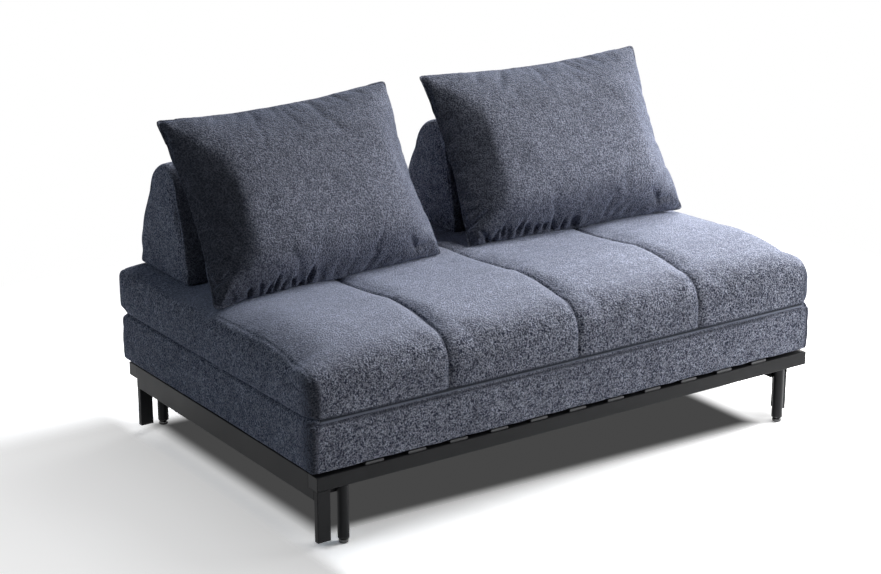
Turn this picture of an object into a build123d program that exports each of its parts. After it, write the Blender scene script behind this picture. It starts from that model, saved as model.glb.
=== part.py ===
from build123d import *
import os

# A two-seat sofa bed. A steel rear frame stands on four levelling feet and a second frame with
# interleaved slats pulls out of it to the front. The upper mattress half then folds forward onto
# the pulled-out slats. Two loose backrests and two loose cushions stand on the upper half.
# X runs along the sofa, Y runs from the front to the back and Z points up from the floor.

os.makedirs("parts", exist_ok=True)

# Overall sizes, in millimetres
frame_width = 1500.0
frame_depth = 936.0
rail_top = 182.0
mattress_overhang = 10.0
mattress_setback = 2.0
mattress_rear_overhang = 16.0

# Clearances and overruns
slide_clearance = 0.3
weld_clearance = 0.5
soft_clearance = 0.3
pin_clearance = 0.05
overrun = 5.0

# Rails of both frames
tube_wall = 2.0
tube_edge_radius = 2.0
main_rail_depth = 40.0
main_rail_height = 35.0
side_rail_height = 60.0
front_side_rail_width = 20.0
rear_side_rail_width = 20.0
rear_side_rail_inset = 78.0
right_rail_gap = 24.0
cross_bar_width = 30.0
cross_bar_height = 30.0
cross_bar_set_back = 5.5
leg_cope_depth = 4.0
front_rail_gap = 0.5

# Flat legs of the front frame
flat_leg_width = 35.0
flat_leg_thickness = 15.0
flat_leg_wall = 1.5
flat_leg_lift = 20.7
right_leg_set_back = 32.0
leg_glide_rim = 3.0
leg_glide_plug = 18.0

# Round legs of the rear frame, with their inserts and levelling feet
round_leg_diameter = 28.0
round_leg_wall = 1.5
round_leg_bottom = 16.0
front_foot_set_back = 16.0
rear_foot_inset = 26.0
insert_rim = 3.0
insert_length = 30.0
foot_pad_diameter = 24.0
foot_pad_height = 10.0
foot_pad_rounding = 3.0
foot_collar_diameter = 15.0
foot_stud_diameter = 8.0
foot_stud_length = 32.0

# Slats and their flush rivets
slat_gap = 9.0
slat_thickness = 7.0
slat_wall = 1.0
slat_edge_radius = 3.0
slat_end_wall = 3.0
front_slat_count = 11
rear_slat_count = 12
first_slat_inset = 158.0
last_slat_inset = 162.0
slat_end_margin = 4.0
rivet_diameter = 5.0
rivet_head_diameter = 8.0
rivet_head_height = 1.5

# Guides between the side rails, and the caps in the rail ends
guide_length = 20.0
guide_height = 20.0
guide_edge = 2.0
guide_end_margin = 20.0
cap_plug = 15.0

# Mattress halves
lower_thickness = 128.0
half_gap = 0.5
upper_edge_height = 117.0
upper_crown = 35.0
upper_puff = 12.0
back_seat_height = 125.0
cover_wall = 3.0
foam_clearance = 0.3
filling_clearance = 1.0
segment_count = 4
lower_corner = 12.0
lower_top_corner = 8.0
lower_bulge = 3.0
upper_bottom_corner = 6.0
upper_side_corner = 14.0
channel_depth = 8.0
strip_recess = 5.0
strip_height = 14.0
strip_thickness = 2.5
strip_end_margin = 25.0
front_round_height = 50.0
front_round_depth = 88.0
front_round_drop = 19.0
crown_set_back = 250.0
dip_depth = 450.0
back_seat_depth = 272.0
cloth_margin = 30.0

# Backrests
backrest_spacing = 210.0
backrest_inset = 50.0
backrest_depth = 260.0
backrest_height = 292.0
backrest_lean = 44.0
backrest_back_lean = 65.0
backrest_shoulder = 205.0
backrest_top_shift = 22.0
backrest_side_bow = 11.0
backrest_top_bow = 21.0
backrest_bulge = 9.0
backrest_rear_gap = 3.0
backrest_foot_corner = 6.0
board_thickness = 12.0
board_margin = 18.0

# Cushions
cushion_margin = 54.0
cushion_height = 484.0
cushion_front_thickness = 92.0
left_cushion_back_thickness = 97.0
right_cushion_back_thickness = 78.0
cushion_side_draw = 22.0
cushion_top_draw = 18.0
cushion_base_draw = 5.0
cushion_corner = 16.0

# Places of the cushions: how far each is moved along its backrest, how far its lower seam stands
# ahead of the backrest and above the seat, then its tilt back, its turn and its roll in degrees
left_cushion_shift = 0.0
left_cushion_reach = 201.0
left_cushion_rise = 11.7
left_cushion_turns = (29.5, 3.7, 0.3)
right_cushion_shift = -25.5
right_cushion_reach = 188.6
right_cushion_rise = 15.6
right_cushion_turns = (31.0, -3.7, 0.6)

# Shapes given as shares of the sizes above
puff_place_shares = [0.0, 0.03, 0.1, 0.3, 0.7, 0.9, 0.97]
puff_height_shares = [0.0, 0.35, 0.72, 1.0, 1.0, 0.72, 0.35]
left_rise_shares = [0.0, 0.14, 0.42, 0.86, 1.0, 1.0, 1.0]
right_rise_shares = [1.0, 1.0, 1.0, 1.0, 0.86, 0.42, 0.14]
end_round_shares = [(0.0, 0.5), (0.3, 0.2), (1.0, 0.0)]
end_puff_share = 0.5
dip_share = 0.35
seat_bow_share = 0.3
dip_bow_share = 0.4
crown_bow_share = 0.6
cushion_level_shares = [0.0, 0.12, 0.35, 0.6, 0.8, 0.93, 1.0]
cushion_inset_shares = [0.0, 0.035, 0.13, 0.28, 0.46, 0.66, 0.86]
cushion_draw_shares = [1.0, 0.85, 0.5, 0.1, -0.3, -0.5, -0.3]
cushion_corner_shares = [1.0, 1.5, 2.5, 3.8, 4.6, 4.0, 1.6]
backrest_place_shares = [0.0, 0.012, 0.05, 0.3, 0.7, 0.95, 0.988, 1.0]
backrest_inset_shares = [1.0, 0.42, 0.08, -0.2, -0.2, 0.08, 0.42, 1.0]
half = 0.5

# Lines and planes that the pieces share
overall_depth = frame_depth + mattress_rear_overhang
front_plane = -overall_depth * half
rear_plane = front_plane + frame_depth
left_end = -frame_width * half
right_end = frame_width * half
mattress_left = left_end - mattress_overhang
mattress_right = right_end + mattress_overhang
mattress_front = front_plane + mattress_setback
mattress_rear = rear_plane + mattress_rear_overhang
rear_frame_top = rail_top - slide_clearance
front_rail_back = front_plane + main_rail_depth
front_foot_y = front_plane + front_foot_set_back
rear_foot_y = rear_plane - rear_foot_inset
front_leg_back = front_foot_y + round_leg_diameter * half
front_rail_bottom = rail_top - main_rail_height
side_rail_bottom = rail_top - side_rail_height
rear_rail_front = rear_plane - main_rail_depth
front_side_rail_end = rear_rail_front - weld_clearance
rear_left_rail = left_end + rear_side_rail_inset
rear_right_rail = right_end - rear_side_rail_inset
front_right_rail = rear_right_rail + right_rail_gap
leg_centre = rear_right_rail
slat_pitch = (frame_width - first_slat_inset - last_slat_inset) / (front_slat_count - 1)
slat_width = slat_pitch * half - slat_gap
slat_top = rail_top + slat_thickness
lower_bottom = slat_top + soft_clearance
lower_top = lower_bottom + lower_thickness
upper_bottom = lower_top + half_gap
upper_edge = upper_bottom + upper_edge_height
back_seat = upper_bottom + back_seat_height
backrest_width = (frame_width - backrest_spacing) * half - backrest_inset
cushion_width = frame_width * half - cushion_margin


def block(low, high):
    """A box between its lowest and highest corners."""
    size = [high[i] - low[i] for i in range(3)]
    middle = [(high[i] + low[i]) * half for i in range(3)]
    return Pos(*middle) * Box(*size)


def rounded_block(low, high, along, radius):
    """A box whose long edges are rounded along one axis."""
    body = block(low, high)
    return fillet(body.edges().filter_by(along), radius)


def tube(low, high, along, wall, radius):
    """A rectangular tube, open at both ends."""
    index = {Axis.X: 0, Axis.Y: 1, Axis.Z: 2}[along]
    inner_low = [low[i] - overrun if i == index else low[i] + wall for i in range(3)]
    inner_high = [high[i] + overrun if i == index else high[i] - wall for i in range(3)]
    return rounded_block(low, high, along, radius) - block(inner_low, inner_high)


def upright(x, y, low, high, radius):
    """A round bar standing between two heights."""
    return Pos(x, y, (low + high) * half) * Cylinder(radius, high - low)


def save(shape, name):
    """Writes one node."""
    export_step(shape, f"parts/{name}.step")


def grouped(pieces):
    """Several separate solids in one node."""
    return Compound(children=[piece.solid() for piece in pieces])


# Rivets hold the slats down on the bars below them
def rivet_cutter(x, y, top, wall):
    """The hole and the countersink for one rivet."""
    shank = rivet_diameter * half + pin_clearance
    head = rivet_head_diameter * half + pin_clearance
    bottom = top - slat_thickness - wall - overrun
    sink = Pos(x, y, top - rivet_head_height * half) * Cone(shank, head, rivet_head_height)
    return upright(x, y, bottom, top + overrun, shank) + sink


def rivet(x, y, top, wall):
    """One flush rivet with its head in the slat and its bulb under the wall."""
    shank = rivet_diameter * half
    head = rivet_head_diameter * half
    bulb_top = top - slat_thickness - wall
    sink = Pos(x, y, top - rivet_head_height * half) * Cone(shank, head, rivet_head_height)
    bulb = upright(x, y, bulb_top - rivet_head_height, bulb_top, head)
    return upright(x, y, bulb_top, top - rivet_head_height * half, shank) + sink + bulb


def slat(x, front, rear, bottom, rivet_places, wall):
    """A flat steel slat, closed at its front end, with holes for its rivets."""
    low = (x - slat_width * half, front, bottom)
    high = (x + slat_width * half, rear, bottom + slat_thickness)
    hollow_low = (low[0] + slat_wall * 2, front + slat_end_wall, bottom + slat_wall)
    hollow_high = (high[0] - slat_wall * 2, rear + overrun, high[2] - slat_wall)
    body = rounded_block(low, high, Axis.Y, slat_edge_radius) - block(hollow_low, hollow_high)
    for y in rivet_places:
        body -= rivet_cutter(x, y, high[2], wall)
    return body


front_slats_x = [left_end + first_slat_inset + slat_pitch * i for i in range(front_slat_count)]
rear_slats_x = [front_slats_x[0] - slat_pitch * half + slat_pitch * i for i in range(rear_slat_count)]
cross_bar_front = front_rail_back + cross_bar_set_back
front_rivet_y = front_plane + main_rail_depth * half
rear_rivet_y = rear_rail_front + main_rail_depth * half
cross_rivet_y = cross_bar_front + cross_bar_width * half

# Front frame: its main rail, with two end caps
front_rail = tube(
    (left_end, front_plane, front_rail_bottom), (right_end, front_rail_back, rail_top),
    Axis.X, tube_wall, tube_edge_radius)
for x in front_slats_x:
    front_rail -= rivet_cutter(x, front_rivet_y, slat_top, tube_wall)


def rail_cap(x, side, front, bottom):
    """A plug in one end of a main rail; side is +1 at the right end and -1 at the left."""
    inset = tube_wall + pin_clearance
    inner = x - side * cap_plug
    low = (min(x, inner), front + inset, bottom + inset)
    high = (max(x, inner), front + main_rail_depth - inset, bottom + main_rail_height - inset)
    return block(low, high)


save(front_rail, "front_rail")
save(grouped([rail_cap(left_end, -1, front_plane, front_rail_bottom),
              rail_cap(right_end, 1, front_plane, front_rail_bottom)]), "front_rail_end_caps")


def side_rail(left, width, front, rear, top, notch_rear, notch_bottom):
    """A side rail whose front end is notched to pass below the front rail."""
    low = (left, front, top - side_rail_height)
    high = (left + width, rear, top)
    body = tube(low, high, Axis.Y, tube_wall, tube_edge_radius)
    notch_low = (left - overrun, front - overrun, notch_bottom)
    notch_high = (left + width + overrun, notch_rear, top + overrun)
    return body - block(notch_low, notch_high)


save(side_rail(left_end, front_side_rail_width, front_plane + flat_leg_thickness, front_side_rail_end,
               rail_top, front_rail_back, front_rail_bottom), "front_frame_side_rail_left")
save(side_rail(front_right_rail, front_side_rail_width, front_plane + right_leg_set_back,
               front_side_rail_end, rail_top, front_rail_back, front_rail_bottom),
     "front_frame_side_rail_right")


# Flat legs: the left pair stands across the sofa, the right pair stands along it
def flat_leg(left, front, width, depth, top):
    """A flat leg and the glide that closes its lower end."""
    low = (left, front, flat_leg_lift + leg_glide_rim)
    high = (left + width, front + depth, top)
    leg = tube(low, high, Axis.Z, flat_leg_wall, flat_leg_wall)
    inset = flat_leg_wall + pin_clearance
    rim = rounded_block((low[0], low[1], flat_leg_lift), (high[0], high[1], low[2]), Axis.Z, flat_leg_wall)
    plug = block((low[0] + inset, low[1] + inset, flat_leg_lift + leg_glide_rim * half),
                 (high[0] - inset, high[1] - inset, low[2] + leg_glide_plug))
    return leg, rim + plug


rear_left_leg_front = front_side_rail_end - flat_leg_thickness
rear_right_leg_front = front_side_rail_end - flat_leg_width
flat_legs = {
    "front_left": flat_leg(left_end, front_plane, flat_leg_width, flat_leg_thickness, front_rail_bottom),
    "rear_left": flat_leg(left_end, rear_left_leg_front, flat_leg_width, flat_leg_thickness,
                          side_rail_bottom),
    "front_right": flat_leg(front_right_rail, front_plane + right_leg_set_back, front_side_rail_width,
                            flat_leg_width, side_rail_bottom),
    "rear_right": flat_leg(front_right_rail, rear_right_leg_front, front_side_rail_width,
                           flat_leg_width, side_rail_bottom),
}
for place, (leg, glide) in flat_legs.items():
    save(leg, f"flat_leg_{place}")
save(grouped([glide for leg, glide in flat_legs.values()]), "flat_leg_glides")

# Slats of the front frame reach back over the rear frame
front_slat_start = front_plane + slat_end_margin
slat_finish = rear_plane - slat_end_margin
for number, x in enumerate(front_slats_x, start=1):
    save(slat(x, front_slat_start, slat_finish, rail_top, [front_rivet_y], tube_wall),
         f"front_slat_{number:02d}")
save(grouped([rivet(x, front_rivet_y, slat_top, tube_wall) for x in front_slats_x]), "front_slat_rivets")

# Rear frame: rear rail, side rails and two cross bars, a running clearance below the front slats
rear_slat_top = rear_frame_top + slat_thickness
rear_slat_start = cross_bar_front
middle_bar_front = -cross_bar_width * half
rear_rail = tube(
    (left_end, rear_rail_front, rear_frame_top - main_rail_height), (right_end, rear_plane, rear_frame_top),
    Axis.X, tube_wall, tube_edge_radius)
front_cross_bar = tube(
    (rear_left_rail + rear_side_rail_width, cross_bar_front, rear_frame_top - cross_bar_height),
    (rear_right_rail - rear_side_rail_width, cross_bar_front + cross_bar_width, rear_frame_top),
    Axis.X, tube_wall, tube_edge_radius)
middle_bar = tube(
    (rear_left_rail + rear_side_rail_width, middle_bar_front, rear_frame_top - cross_bar_height),
    (rear_right_rail - rear_side_rail_width, middle_bar_front + cross_bar_width, rear_frame_top),
    Axis.X, tube_wall, tube_edge_radius)
front_leg_top = front_rail_bottom - front_rail_gap
rear_side_rails = {}
for side, left in {"left": rear_left_rail, "right": rear_right_rail - rear_side_rail_width}.items():
    rail = side_rail(left, rear_side_rail_width, front_leg_back - leg_cope_depth, rear_rail_front,
                     rear_frame_top, front_rail_back + front_rail_gap, front_leg_top)
    for x in (-leg_centre, leg_centre):
        rail -= upright(x, front_foot_y, 0, rail_top, round_leg_diameter * half)
    rear_side_rails[side] = rail
rear_rivets = []
for x in rear_slats_x:
    rear_rail -= rivet_cutter(x, rear_rivet_y, rear_slat_top, tube_wall)
    rear_rivets.append(rivet(x, rear_rivet_y, rear_slat_top, tube_wall))
    over_bar = abs(x) + slat_width * half < rear_right_rail - rear_side_rail_width
    if over_bar:
        front_cross_bar -= rivet_cutter(x, cross_rivet_y, rear_slat_top, tube_wall)
        middle_bar -= rivet_cutter(x, 0, rear_slat_top, tube_wall)
        rear_rivets.append(rivet(x, cross_rivet_y, rear_slat_top, tube_wall))
        rear_rivets.append(rivet(x, 0, rear_slat_top, tube_wall))
save(rear_rail, "rear_rail")
save(front_cross_bar, "rear_frame_front_cross_bar")
save(middle_bar, "rear_frame_middle_bar")
for side, rail in rear_side_rails.items():
    save(rail, f"rear_frame_side_rail_{side}")
save(grouped([rail_cap(left_end, -1, rear_rail_front, rear_frame_top - main_rail_height),
              rail_cap(right_end, 1, rear_rail_front, rear_frame_top - main_rail_height)]),
     "rear_rail_end_caps")

rear_slats = []
for x in rear_slats_x:
    over_bar = abs(x) + slat_width * half < rear_right_rail - rear_side_rail_width
    places = [rear_rivet_y, cross_rivet_y, 0] if over_bar else [rear_rivet_y]
    rear_slats.append(slat(x, rear_slat_start, slat_finish, rear_frame_top, places, tube_wall))
save(grouped(rear_slats), "rear_slats")
save(grouped(rear_rivets), "rear_slat_rivets")

# Guides fill the gaps between the side rails of the two frames
guide_bottom = side_rail_bottom + guide_edge
guide_fronts = [front_leg_back + front_rail_gap, front_side_rail_end - guide_end_margin - guide_length]
left_guides = []
right_guides = []
for y in guide_fronts:
    left_guides.append(block(
        (left_end + front_side_rail_width + slide_clearance, y, guide_bottom),
        (rear_left_rail, y + guide_length, guide_bottom + guide_height)))
    right_guides.append(block(
        (rear_right_rail, y, guide_bottom),
        (front_right_rail - slide_clearance, y + guide_length, guide_bottom + guide_height)))
save(grouped(left_guides), "left_guide_blocks")
save(grouped(right_guides), "right_guide_pads")

# Round legs with threaded inserts and levelling feet
rear_rail_bottom = rear_frame_top - main_rail_height
leg_places = {
    "front_left": (-leg_centre, front_foot_y, front_leg_top),
    "front_right": (leg_centre, front_foot_y, front_leg_top),
    "rear_left": (-leg_centre, rear_foot_y, rear_rail_bottom),
    "rear_right": (leg_centre, rear_foot_y, rear_rail_bottom),
}
stud_radius = foot_stud_diameter * half
insert_bottom = round_leg_bottom - insert_rim
collar_top = insert_bottom - slide_clearance
inserts = []
for place, (x, y, top) in leg_places.items():
    outer = round_leg_diameter * half
    inner = outer - round_leg_wall
    leg = upright(x, y, round_leg_bottom, top, outer) - upright(x, y, 0, top + overrun, inner)
    save(leg, f"levelling_leg_{place}")
    insert = upright(x, y, insert_bottom, round_leg_bottom, outer)
    insert += upright(x, y, insert_bottom, round_leg_bottom + insert_length, inner - pin_clearance)
    inserts.append(insert - upright(x, y, 0, top, stud_radius + pin_clearance))
    pad = upright(x, y, 0, foot_pad_height, foot_pad_diameter * half)
    pad = fillet(pad.edges().filter_by(GeomType.CIRCLE), foot_pad_rounding)
    collar = upright(x, y, foot_pad_height * half, collar_top, foot_collar_diameter * half)
    stud = upright(x, y, foot_pad_height * half, foot_pad_height + foot_stud_length, stud_radius)
    save(pad + collar + stud, f"levelling_foot_{place}")
save(grouped(inserts), "leg_inserts")


# Soft parts: closed sections of lines and arcs, joined by ruled lofts
def section(x, start, steps):
    """A closed outline at one place along X; each step is (end) or (middle, end) in Y and Z."""
    edges = []
    here = start
    for step in steps:
        end = step[-1]
        if len(step) == 1:
            edges.append(Edge.make_line(Vector(x, *here), Vector(x, *end)))
        else:
            edges.append(Edge.make_three_point_arc(Vector(x, *here), Vector(x, *step[0]), Vector(x, *end)))
        here = end
    return Wire(edges)


def corner(start, end, tip):
    """The middle of a rounded corner between two points, drawn towards its tip."""
    pull = 2 ** half - 1
    return tuple(tip[i] * pull + (start[i] + end[i]) * half * (1 - pull) for i in range(2))


def between(start, end, bow):
    """The middle of a shallow arc, bowed out to the left of its direction."""
    dy, dz = end[0] - start[0], end[1] - start[1]
    length = (dy ** 2 + dz ** 2) ** half
    return ((start[0] + end[0]) * half - dz / length * bow, (start[1] + end[1]) * half + dy / length * bow)


def end_places(low, high, depth):
    """Places and insets that round both ends of a lofted half."""
    left = [(low + depth * place, depth * inset) for place, inset in end_round_shares]
    right = [(high - depth * place, depth * inset) for place, inset in reversed(end_round_shares)]
    return left, right


def lower_section(x, inset, bottom):
    """One section of the lower mattress half, with the recess for the fabric hinge."""
    front = mattress_front + lower_bulge + inset
    rear = mattress_rear - lower_bulge - inset
    top = lower_top - inset
    low = bottom + inset
    radius = lower_corner
    upper_radius = lower_top_corner
    ledge = lower_top - strip_height - inset
    inner_front = front + strip_recess
    start = (front + radius, low)
    points = [
        ((rear - radius, low),),
        (corner((rear - radius, low), (rear, low + radius), (rear, low)), (rear, low + radius)),
        (between((rear, low + radius), (rear, top - upper_radius), -lower_bulge),
         (rear, top - upper_radius)),
        (corner((rear, top - upper_radius), (rear - upper_radius, top), (rear, top)),
         (rear - upper_radius, top)),
        ((inner_front, top),),
        ((inner_front, ledge),),
        ((front, ledge),),
        (between((front, ledge), (front, low + radius), -lower_bulge), (front, low + radius)),
        (corner((front, low + radius), start, (front, low)), start),
    ]
    return section(x, start, points)


def lower_half(wall, bottom):
    """The lower mattress half, drawn in by a wall all round."""
    left, right = end_places(mattress_left + wall, mattress_right - wall, lower_corner)
    sections = [lower_section(x, inset + wall, bottom - wall) for x, inset in left + right]
    return Solid.make_loft(sections, True)


def upper_section(x, inset, bottom, rise, puff):
    """One section of the upper half: rise is its share of the crown, puff its share between channels."""
    drop = channel_depth * (1 - puff)
    front = mattress_front + drop * half + inset
    rear = mattress_rear - inset
    low = bottom + inset
    edge = upper_edge - inset
    top = edge + upper_crown * rise + upper_puff * puff
    seat = min(back_seat - inset - (1 - rise) * upper_puff, edge + upper_crown * rise)
    dip = seat + (top - seat) * dip_share
    radius = upper_bottom_corner
    rear_radius = upper_side_corner
    shoulder = (mattress_front + front_round_depth + inset, top - front_round_drop)
    front_top = (front, edge - front_round_height)
    crown = (mattress_front + crown_set_back, top)
    valley = (mattress_rear - dip_depth, dip)
    seat_front = (mattress_rear - back_seat_depth, seat)
    start = (front + radius, low)
    points = [
        ((rear - radius, low),),
        (corner((rear - radius, low), (rear, low + radius), (rear, low)), (rear, low + radius)),
        ((rear, seat - rear_radius),),
        (corner((rear, seat - rear_radius), (rear - rear_radius, seat), (rear, seat)),
         (rear - rear_radius, seat)),
        (seat_front,),
        (between(seat_front, valley, -channel_depth * seat_bow_share * rise - foam_clearance), valley),
        (between(valley, crown, channel_depth * dip_bow_share * rise + foam_clearance), crown),
        (between(crown, shoulder, -channel_depth * crown_bow_share), shoulder),
        (between(shoulder, front_top, -front_round_drop), front_top),
        ((front, low + radius),),
        (corner((front, low + radius), start, (front, low)), start),
    ]
    return section(x, start, points)


def upper_half(wall, bottom):
    """The upper mattress half with its sewn channels, drawn in by a wall all round."""
    left, right = end_places(mattress_left + wall, mattress_right - wall, upper_side_corner)
    pitch = (mattress_right - mattress_left) / segment_count
    rises = [left_rise_shares] + [[1] * len(puff_place_shares)] * (segment_count - 2) + [right_rise_shares]
    sections = [upper_section(x, inset + wall, bottom - wall, 0, end_puff_share) for x, inset in left]
    for segment in range(segment_count):
        shapes = zip(puff_place_shares, puff_height_shares, rises[segment])
        for place, puff, rise in list(shapes)[2 if segment == 0 else 0:]:
            x = mattress_left + pitch * (segment + place)
            sections.append(upper_section(x, wall, bottom - wall, rise, puff))
    sections = sections[:-1]
    sections += [upper_section(x, inset + wall, bottom - wall, 0, end_puff_share) for x, inset in right]
    return Solid.make_loft(sections, True)


def upholstered(outer, cavity, foam, panel_low, panel_high):
    """A cover open below, its filling and the panel that closes it."""
    panel = block(panel_low, panel_high)
    cover = outer - cavity - panel
    return cover, foam, panel


def mattress(name, make, bottom, panel_name):
    """Saves the cover, the foam and the closing panel of one mattress half."""
    panel_low = (mattress_left + cloth_margin, mattress_front + cloth_margin, bottom)
    panel_high = (mattress_right - cloth_margin, mattress_rear - cloth_margin, bottom + cover_wall)
    cover, foam, panel = upholstered(
        make(0, bottom), make(cover_wall, bottom + cover_wall),
        make(cover_wall + foam_clearance, bottom + cover_wall), panel_low, panel_high)
    save(cover, f"{name}_cover")
    save(foam, f"{name}_foam")
    save(panel, f"{name}_{panel_name}")


mattress("mattress_lower", lower_half, lower_bottom, "base_cloth")
mattress("mattress_upper", upper_half, upper_bottom, "bed_panel")

# The fabric hinge lies in the recess along the front of the lower half
strip_back = mattress_front + lower_bulge + strip_recess
save(block((mattress_left + strip_end_margin, strip_back - strip_thickness, lower_top - strip_height),
           (mattress_right - strip_end_margin, strip_back, lower_top)), "fabric_hinge_strip")


# Backrests: an upright bolster, wide at its foot and round at its top, on a board
def backrest_section(x, inset, wall):
    """One section of a backrest; the inset draws in its ends and the wall is all round."""
    rear = mattress_rear - backrest_rear_gap - inset - wall
    front = mattress_rear - backrest_rear_gap - backrest_depth + inset + wall
    low = back_seat + soft_clearance + wall
    foot = low + backrest_foot_corner
    shoulder = back_seat + soft_clearance + backrest_shoulder - inset
    top = back_seat + soft_clearance + backrest_height - inset - wall
    rear_shoulder = (rear - backrest_back_lean, shoulder)
    front_shoulder = (front + backrest_lean, shoulder)
    crest = ((rear_shoulder[0] + front_shoulder[0]) * half - backrest_top_shift, top)
    rear_middle = between(rear_shoulder, crest, -backrest_top_bow)
    front_middle = between(crest, front_shoulder, -backrest_top_bow)
    corner_size = backrest_foot_corner
    start = (front + corner_size, low)
    points = [
        ((rear - corner_size, low),),
        (corner((rear - corner_size, low), (rear, foot), (rear, low)), (rear, foot)),
        (between((rear, foot), rear_shoulder, -backrest_side_bow), rear_shoulder),
        (rear_middle, crest),
        (front_middle, front_shoulder),
        (between(front_shoulder, (front, foot), -backrest_side_bow), (front, foot)),
        (corner((front, foot), start, (front, low)), start),
    ]
    return section(x, start, points)


def backrest_body(left, wall):
    """A backrest from its left end, drawn in by a wall all round."""
    sections = []
    for place, inset in zip(backrest_place_shares, backrest_inset_shares):
        x = left + wall + (backrest_width - wall * 2) * place
        sections.append(backrest_section(x, backrest_bulge * inset, wall))
    return Solid.make_loft(sections, True)


backrest_lefts = {"left": left_end + backrest_inset, "right": right_end - backrest_inset - backrest_width}
for side, left in backrest_lefts.items():
    base = back_seat + soft_clearance
    rear = mattress_rear - backrest_rear_gap - board_margin
    front = mattress_rear - backrest_rear_gap - backrest_depth + board_margin
    board = block((left + board_margin, front, base),
                  (left + backrest_width - board_margin, rear, base + board_thickness))
    save(backrest_body(left, 0) - backrest_body(left, cover_wall) - board, f"backrest_{side}_cover")
    save(backrest_body(left, cover_wall + foam_clearance) - board, f"backrest_{side}_foam")
    save(board, f"backrest_{side}_base_board")


# Cushions: two panels sewn along a knife edge, round a loose filling
def cushion_outline(level, inset, draw, radius):
    """The outline of a cushion at one height of its crown, with sides that curve in."""
    u = cushion_width * half - inset
    v = cushion_height * half - inset
    side, top, base = (cushion_side_draw * draw, cushion_top_draw * draw, cushion_base_draw * draw)
    ends = [(u - radius, v), (u, v - radius), (u, radius - v), (u - radius, -v),
            (radius - u, -v), (-u, radius - v), (-u, v - radius), (radius - u, v)]
    tips = [(u, v), (u, -v), (-u, -v), (-u, v)]
    middles = [(u - side, 0), (0, base - v), (side - u, 0), (0, v - top)]
    edges = []
    for i in range(4):
        a, b = ends[2 * i], ends[2 * i + 1]
        c = ends[(2 * i + 2) % 8]
        bend = corner(a, b, tips[i])
        edges.append(Edge.make_three_point_arc(Vector(*a, level), Vector(*bend, level), Vector(*b, level)))
        side_middle = Vector(*middles[i], level)
        edges.append(Edge.make_three_point_arc(Vector(*b, level), side_middle, Vector(*c, level)))
    return Wire(edges)


def cushion_half(thickness, wall):
    """One half of a cushion, from the seam to the top of its crown, drawn in by a wall."""
    height = thickness - abs(wall) * (1 if thickness > 0 else -1)
    outlines = []
    for level, inset, draw, radius in zip(
            cushion_level_shares, cushion_inset_shares, cushion_draw_shares, cushion_corner_shares):
        depth = cushion_height * half * inset + wall
        outlines.append(cushion_outline(height * level, depth, draw, cushion_corner * radius))
    return Solid.make_loft(outlines, True)


def set_down(shape, side):
    """Leans a cushion back against its backrest, turns it and stands it on the seat."""
    shift, reach, rise, (tilt, turn, roll) = cushion_places[side]
    middle = backrest_lefts[side] + backrest_width * half + shift
    base = mattress_rear - backrest_rear_gap - backrest_depth - reach
    leaned = Rot(90 - tilt, 0, 0) * Rot(0, 0, roll) * Pos(0, cushion_height * half, 0) * shape
    return Pos(middle, base, back_seat + rise) * Rot(0, 0, turn) * leaned


cushion_places = {
    "left": (left_cushion_shift, left_cushion_reach, left_cushion_rise, left_cushion_turns),
    "right": (right_cushion_shift, right_cushion_reach, right_cushion_rise, right_cushion_turns),
}
back_thicknesses = {"left": left_cushion_back_thickness, "right": right_cushion_back_thickness}
seam_wall = cover_wall * 2
fill_wall = seam_wall + filling_clearance
front_panel = cushion_half(cushion_front_thickness, 0) - cushion_half(cushion_front_thickness, seam_wall)
front_fill = cushion_half(cushion_front_thickness, fill_wall)
for side, thickness in back_thicknesses.items():
    back_panel = cushion_half(-thickness, 0) - cushion_half(-thickness, seam_wall)
    save(set_down(front_panel, side), f"cushion_{side}_front_panel")
    save(set_down(back_panel, side), f"cushion_{side}_back_panel")
    save(set_down(front_fill + cushion_half(-thickness, fill_wall), side), f"cushion_{side}_filling")
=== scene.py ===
import math
import random
from functools import partial

import bpy
import numpy as np
from mathutils import Matrix, Vector, noise
from mathutils.bvhtree import BVHTree


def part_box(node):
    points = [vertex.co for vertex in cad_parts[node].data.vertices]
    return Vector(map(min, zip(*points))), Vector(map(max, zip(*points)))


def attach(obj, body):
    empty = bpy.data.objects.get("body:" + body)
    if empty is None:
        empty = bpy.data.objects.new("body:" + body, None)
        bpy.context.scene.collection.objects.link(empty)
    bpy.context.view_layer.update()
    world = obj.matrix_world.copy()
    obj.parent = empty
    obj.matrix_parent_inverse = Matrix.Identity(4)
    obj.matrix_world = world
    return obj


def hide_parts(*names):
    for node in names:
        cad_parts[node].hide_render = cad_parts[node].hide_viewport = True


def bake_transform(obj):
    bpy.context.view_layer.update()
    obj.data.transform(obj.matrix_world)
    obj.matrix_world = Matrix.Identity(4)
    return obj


bl_info = {
    "name": "Sofa Bed",
    "version": (1, 0, 0),
    "blender": (4, 5, 0),
    "location": "View3D > Sidebar > Sofa Bed",
    "description": "Dresses a packed sofa bed frame with cloth, powder coated steel and plastic",
    "category": "Object",
}

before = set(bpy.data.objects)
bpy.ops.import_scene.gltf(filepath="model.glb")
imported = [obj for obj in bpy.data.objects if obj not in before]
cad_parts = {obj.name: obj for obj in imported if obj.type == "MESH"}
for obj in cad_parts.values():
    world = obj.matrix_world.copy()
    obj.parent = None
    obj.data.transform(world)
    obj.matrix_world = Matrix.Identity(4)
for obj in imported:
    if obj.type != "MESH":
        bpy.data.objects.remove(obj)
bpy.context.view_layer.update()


# Settings

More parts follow.
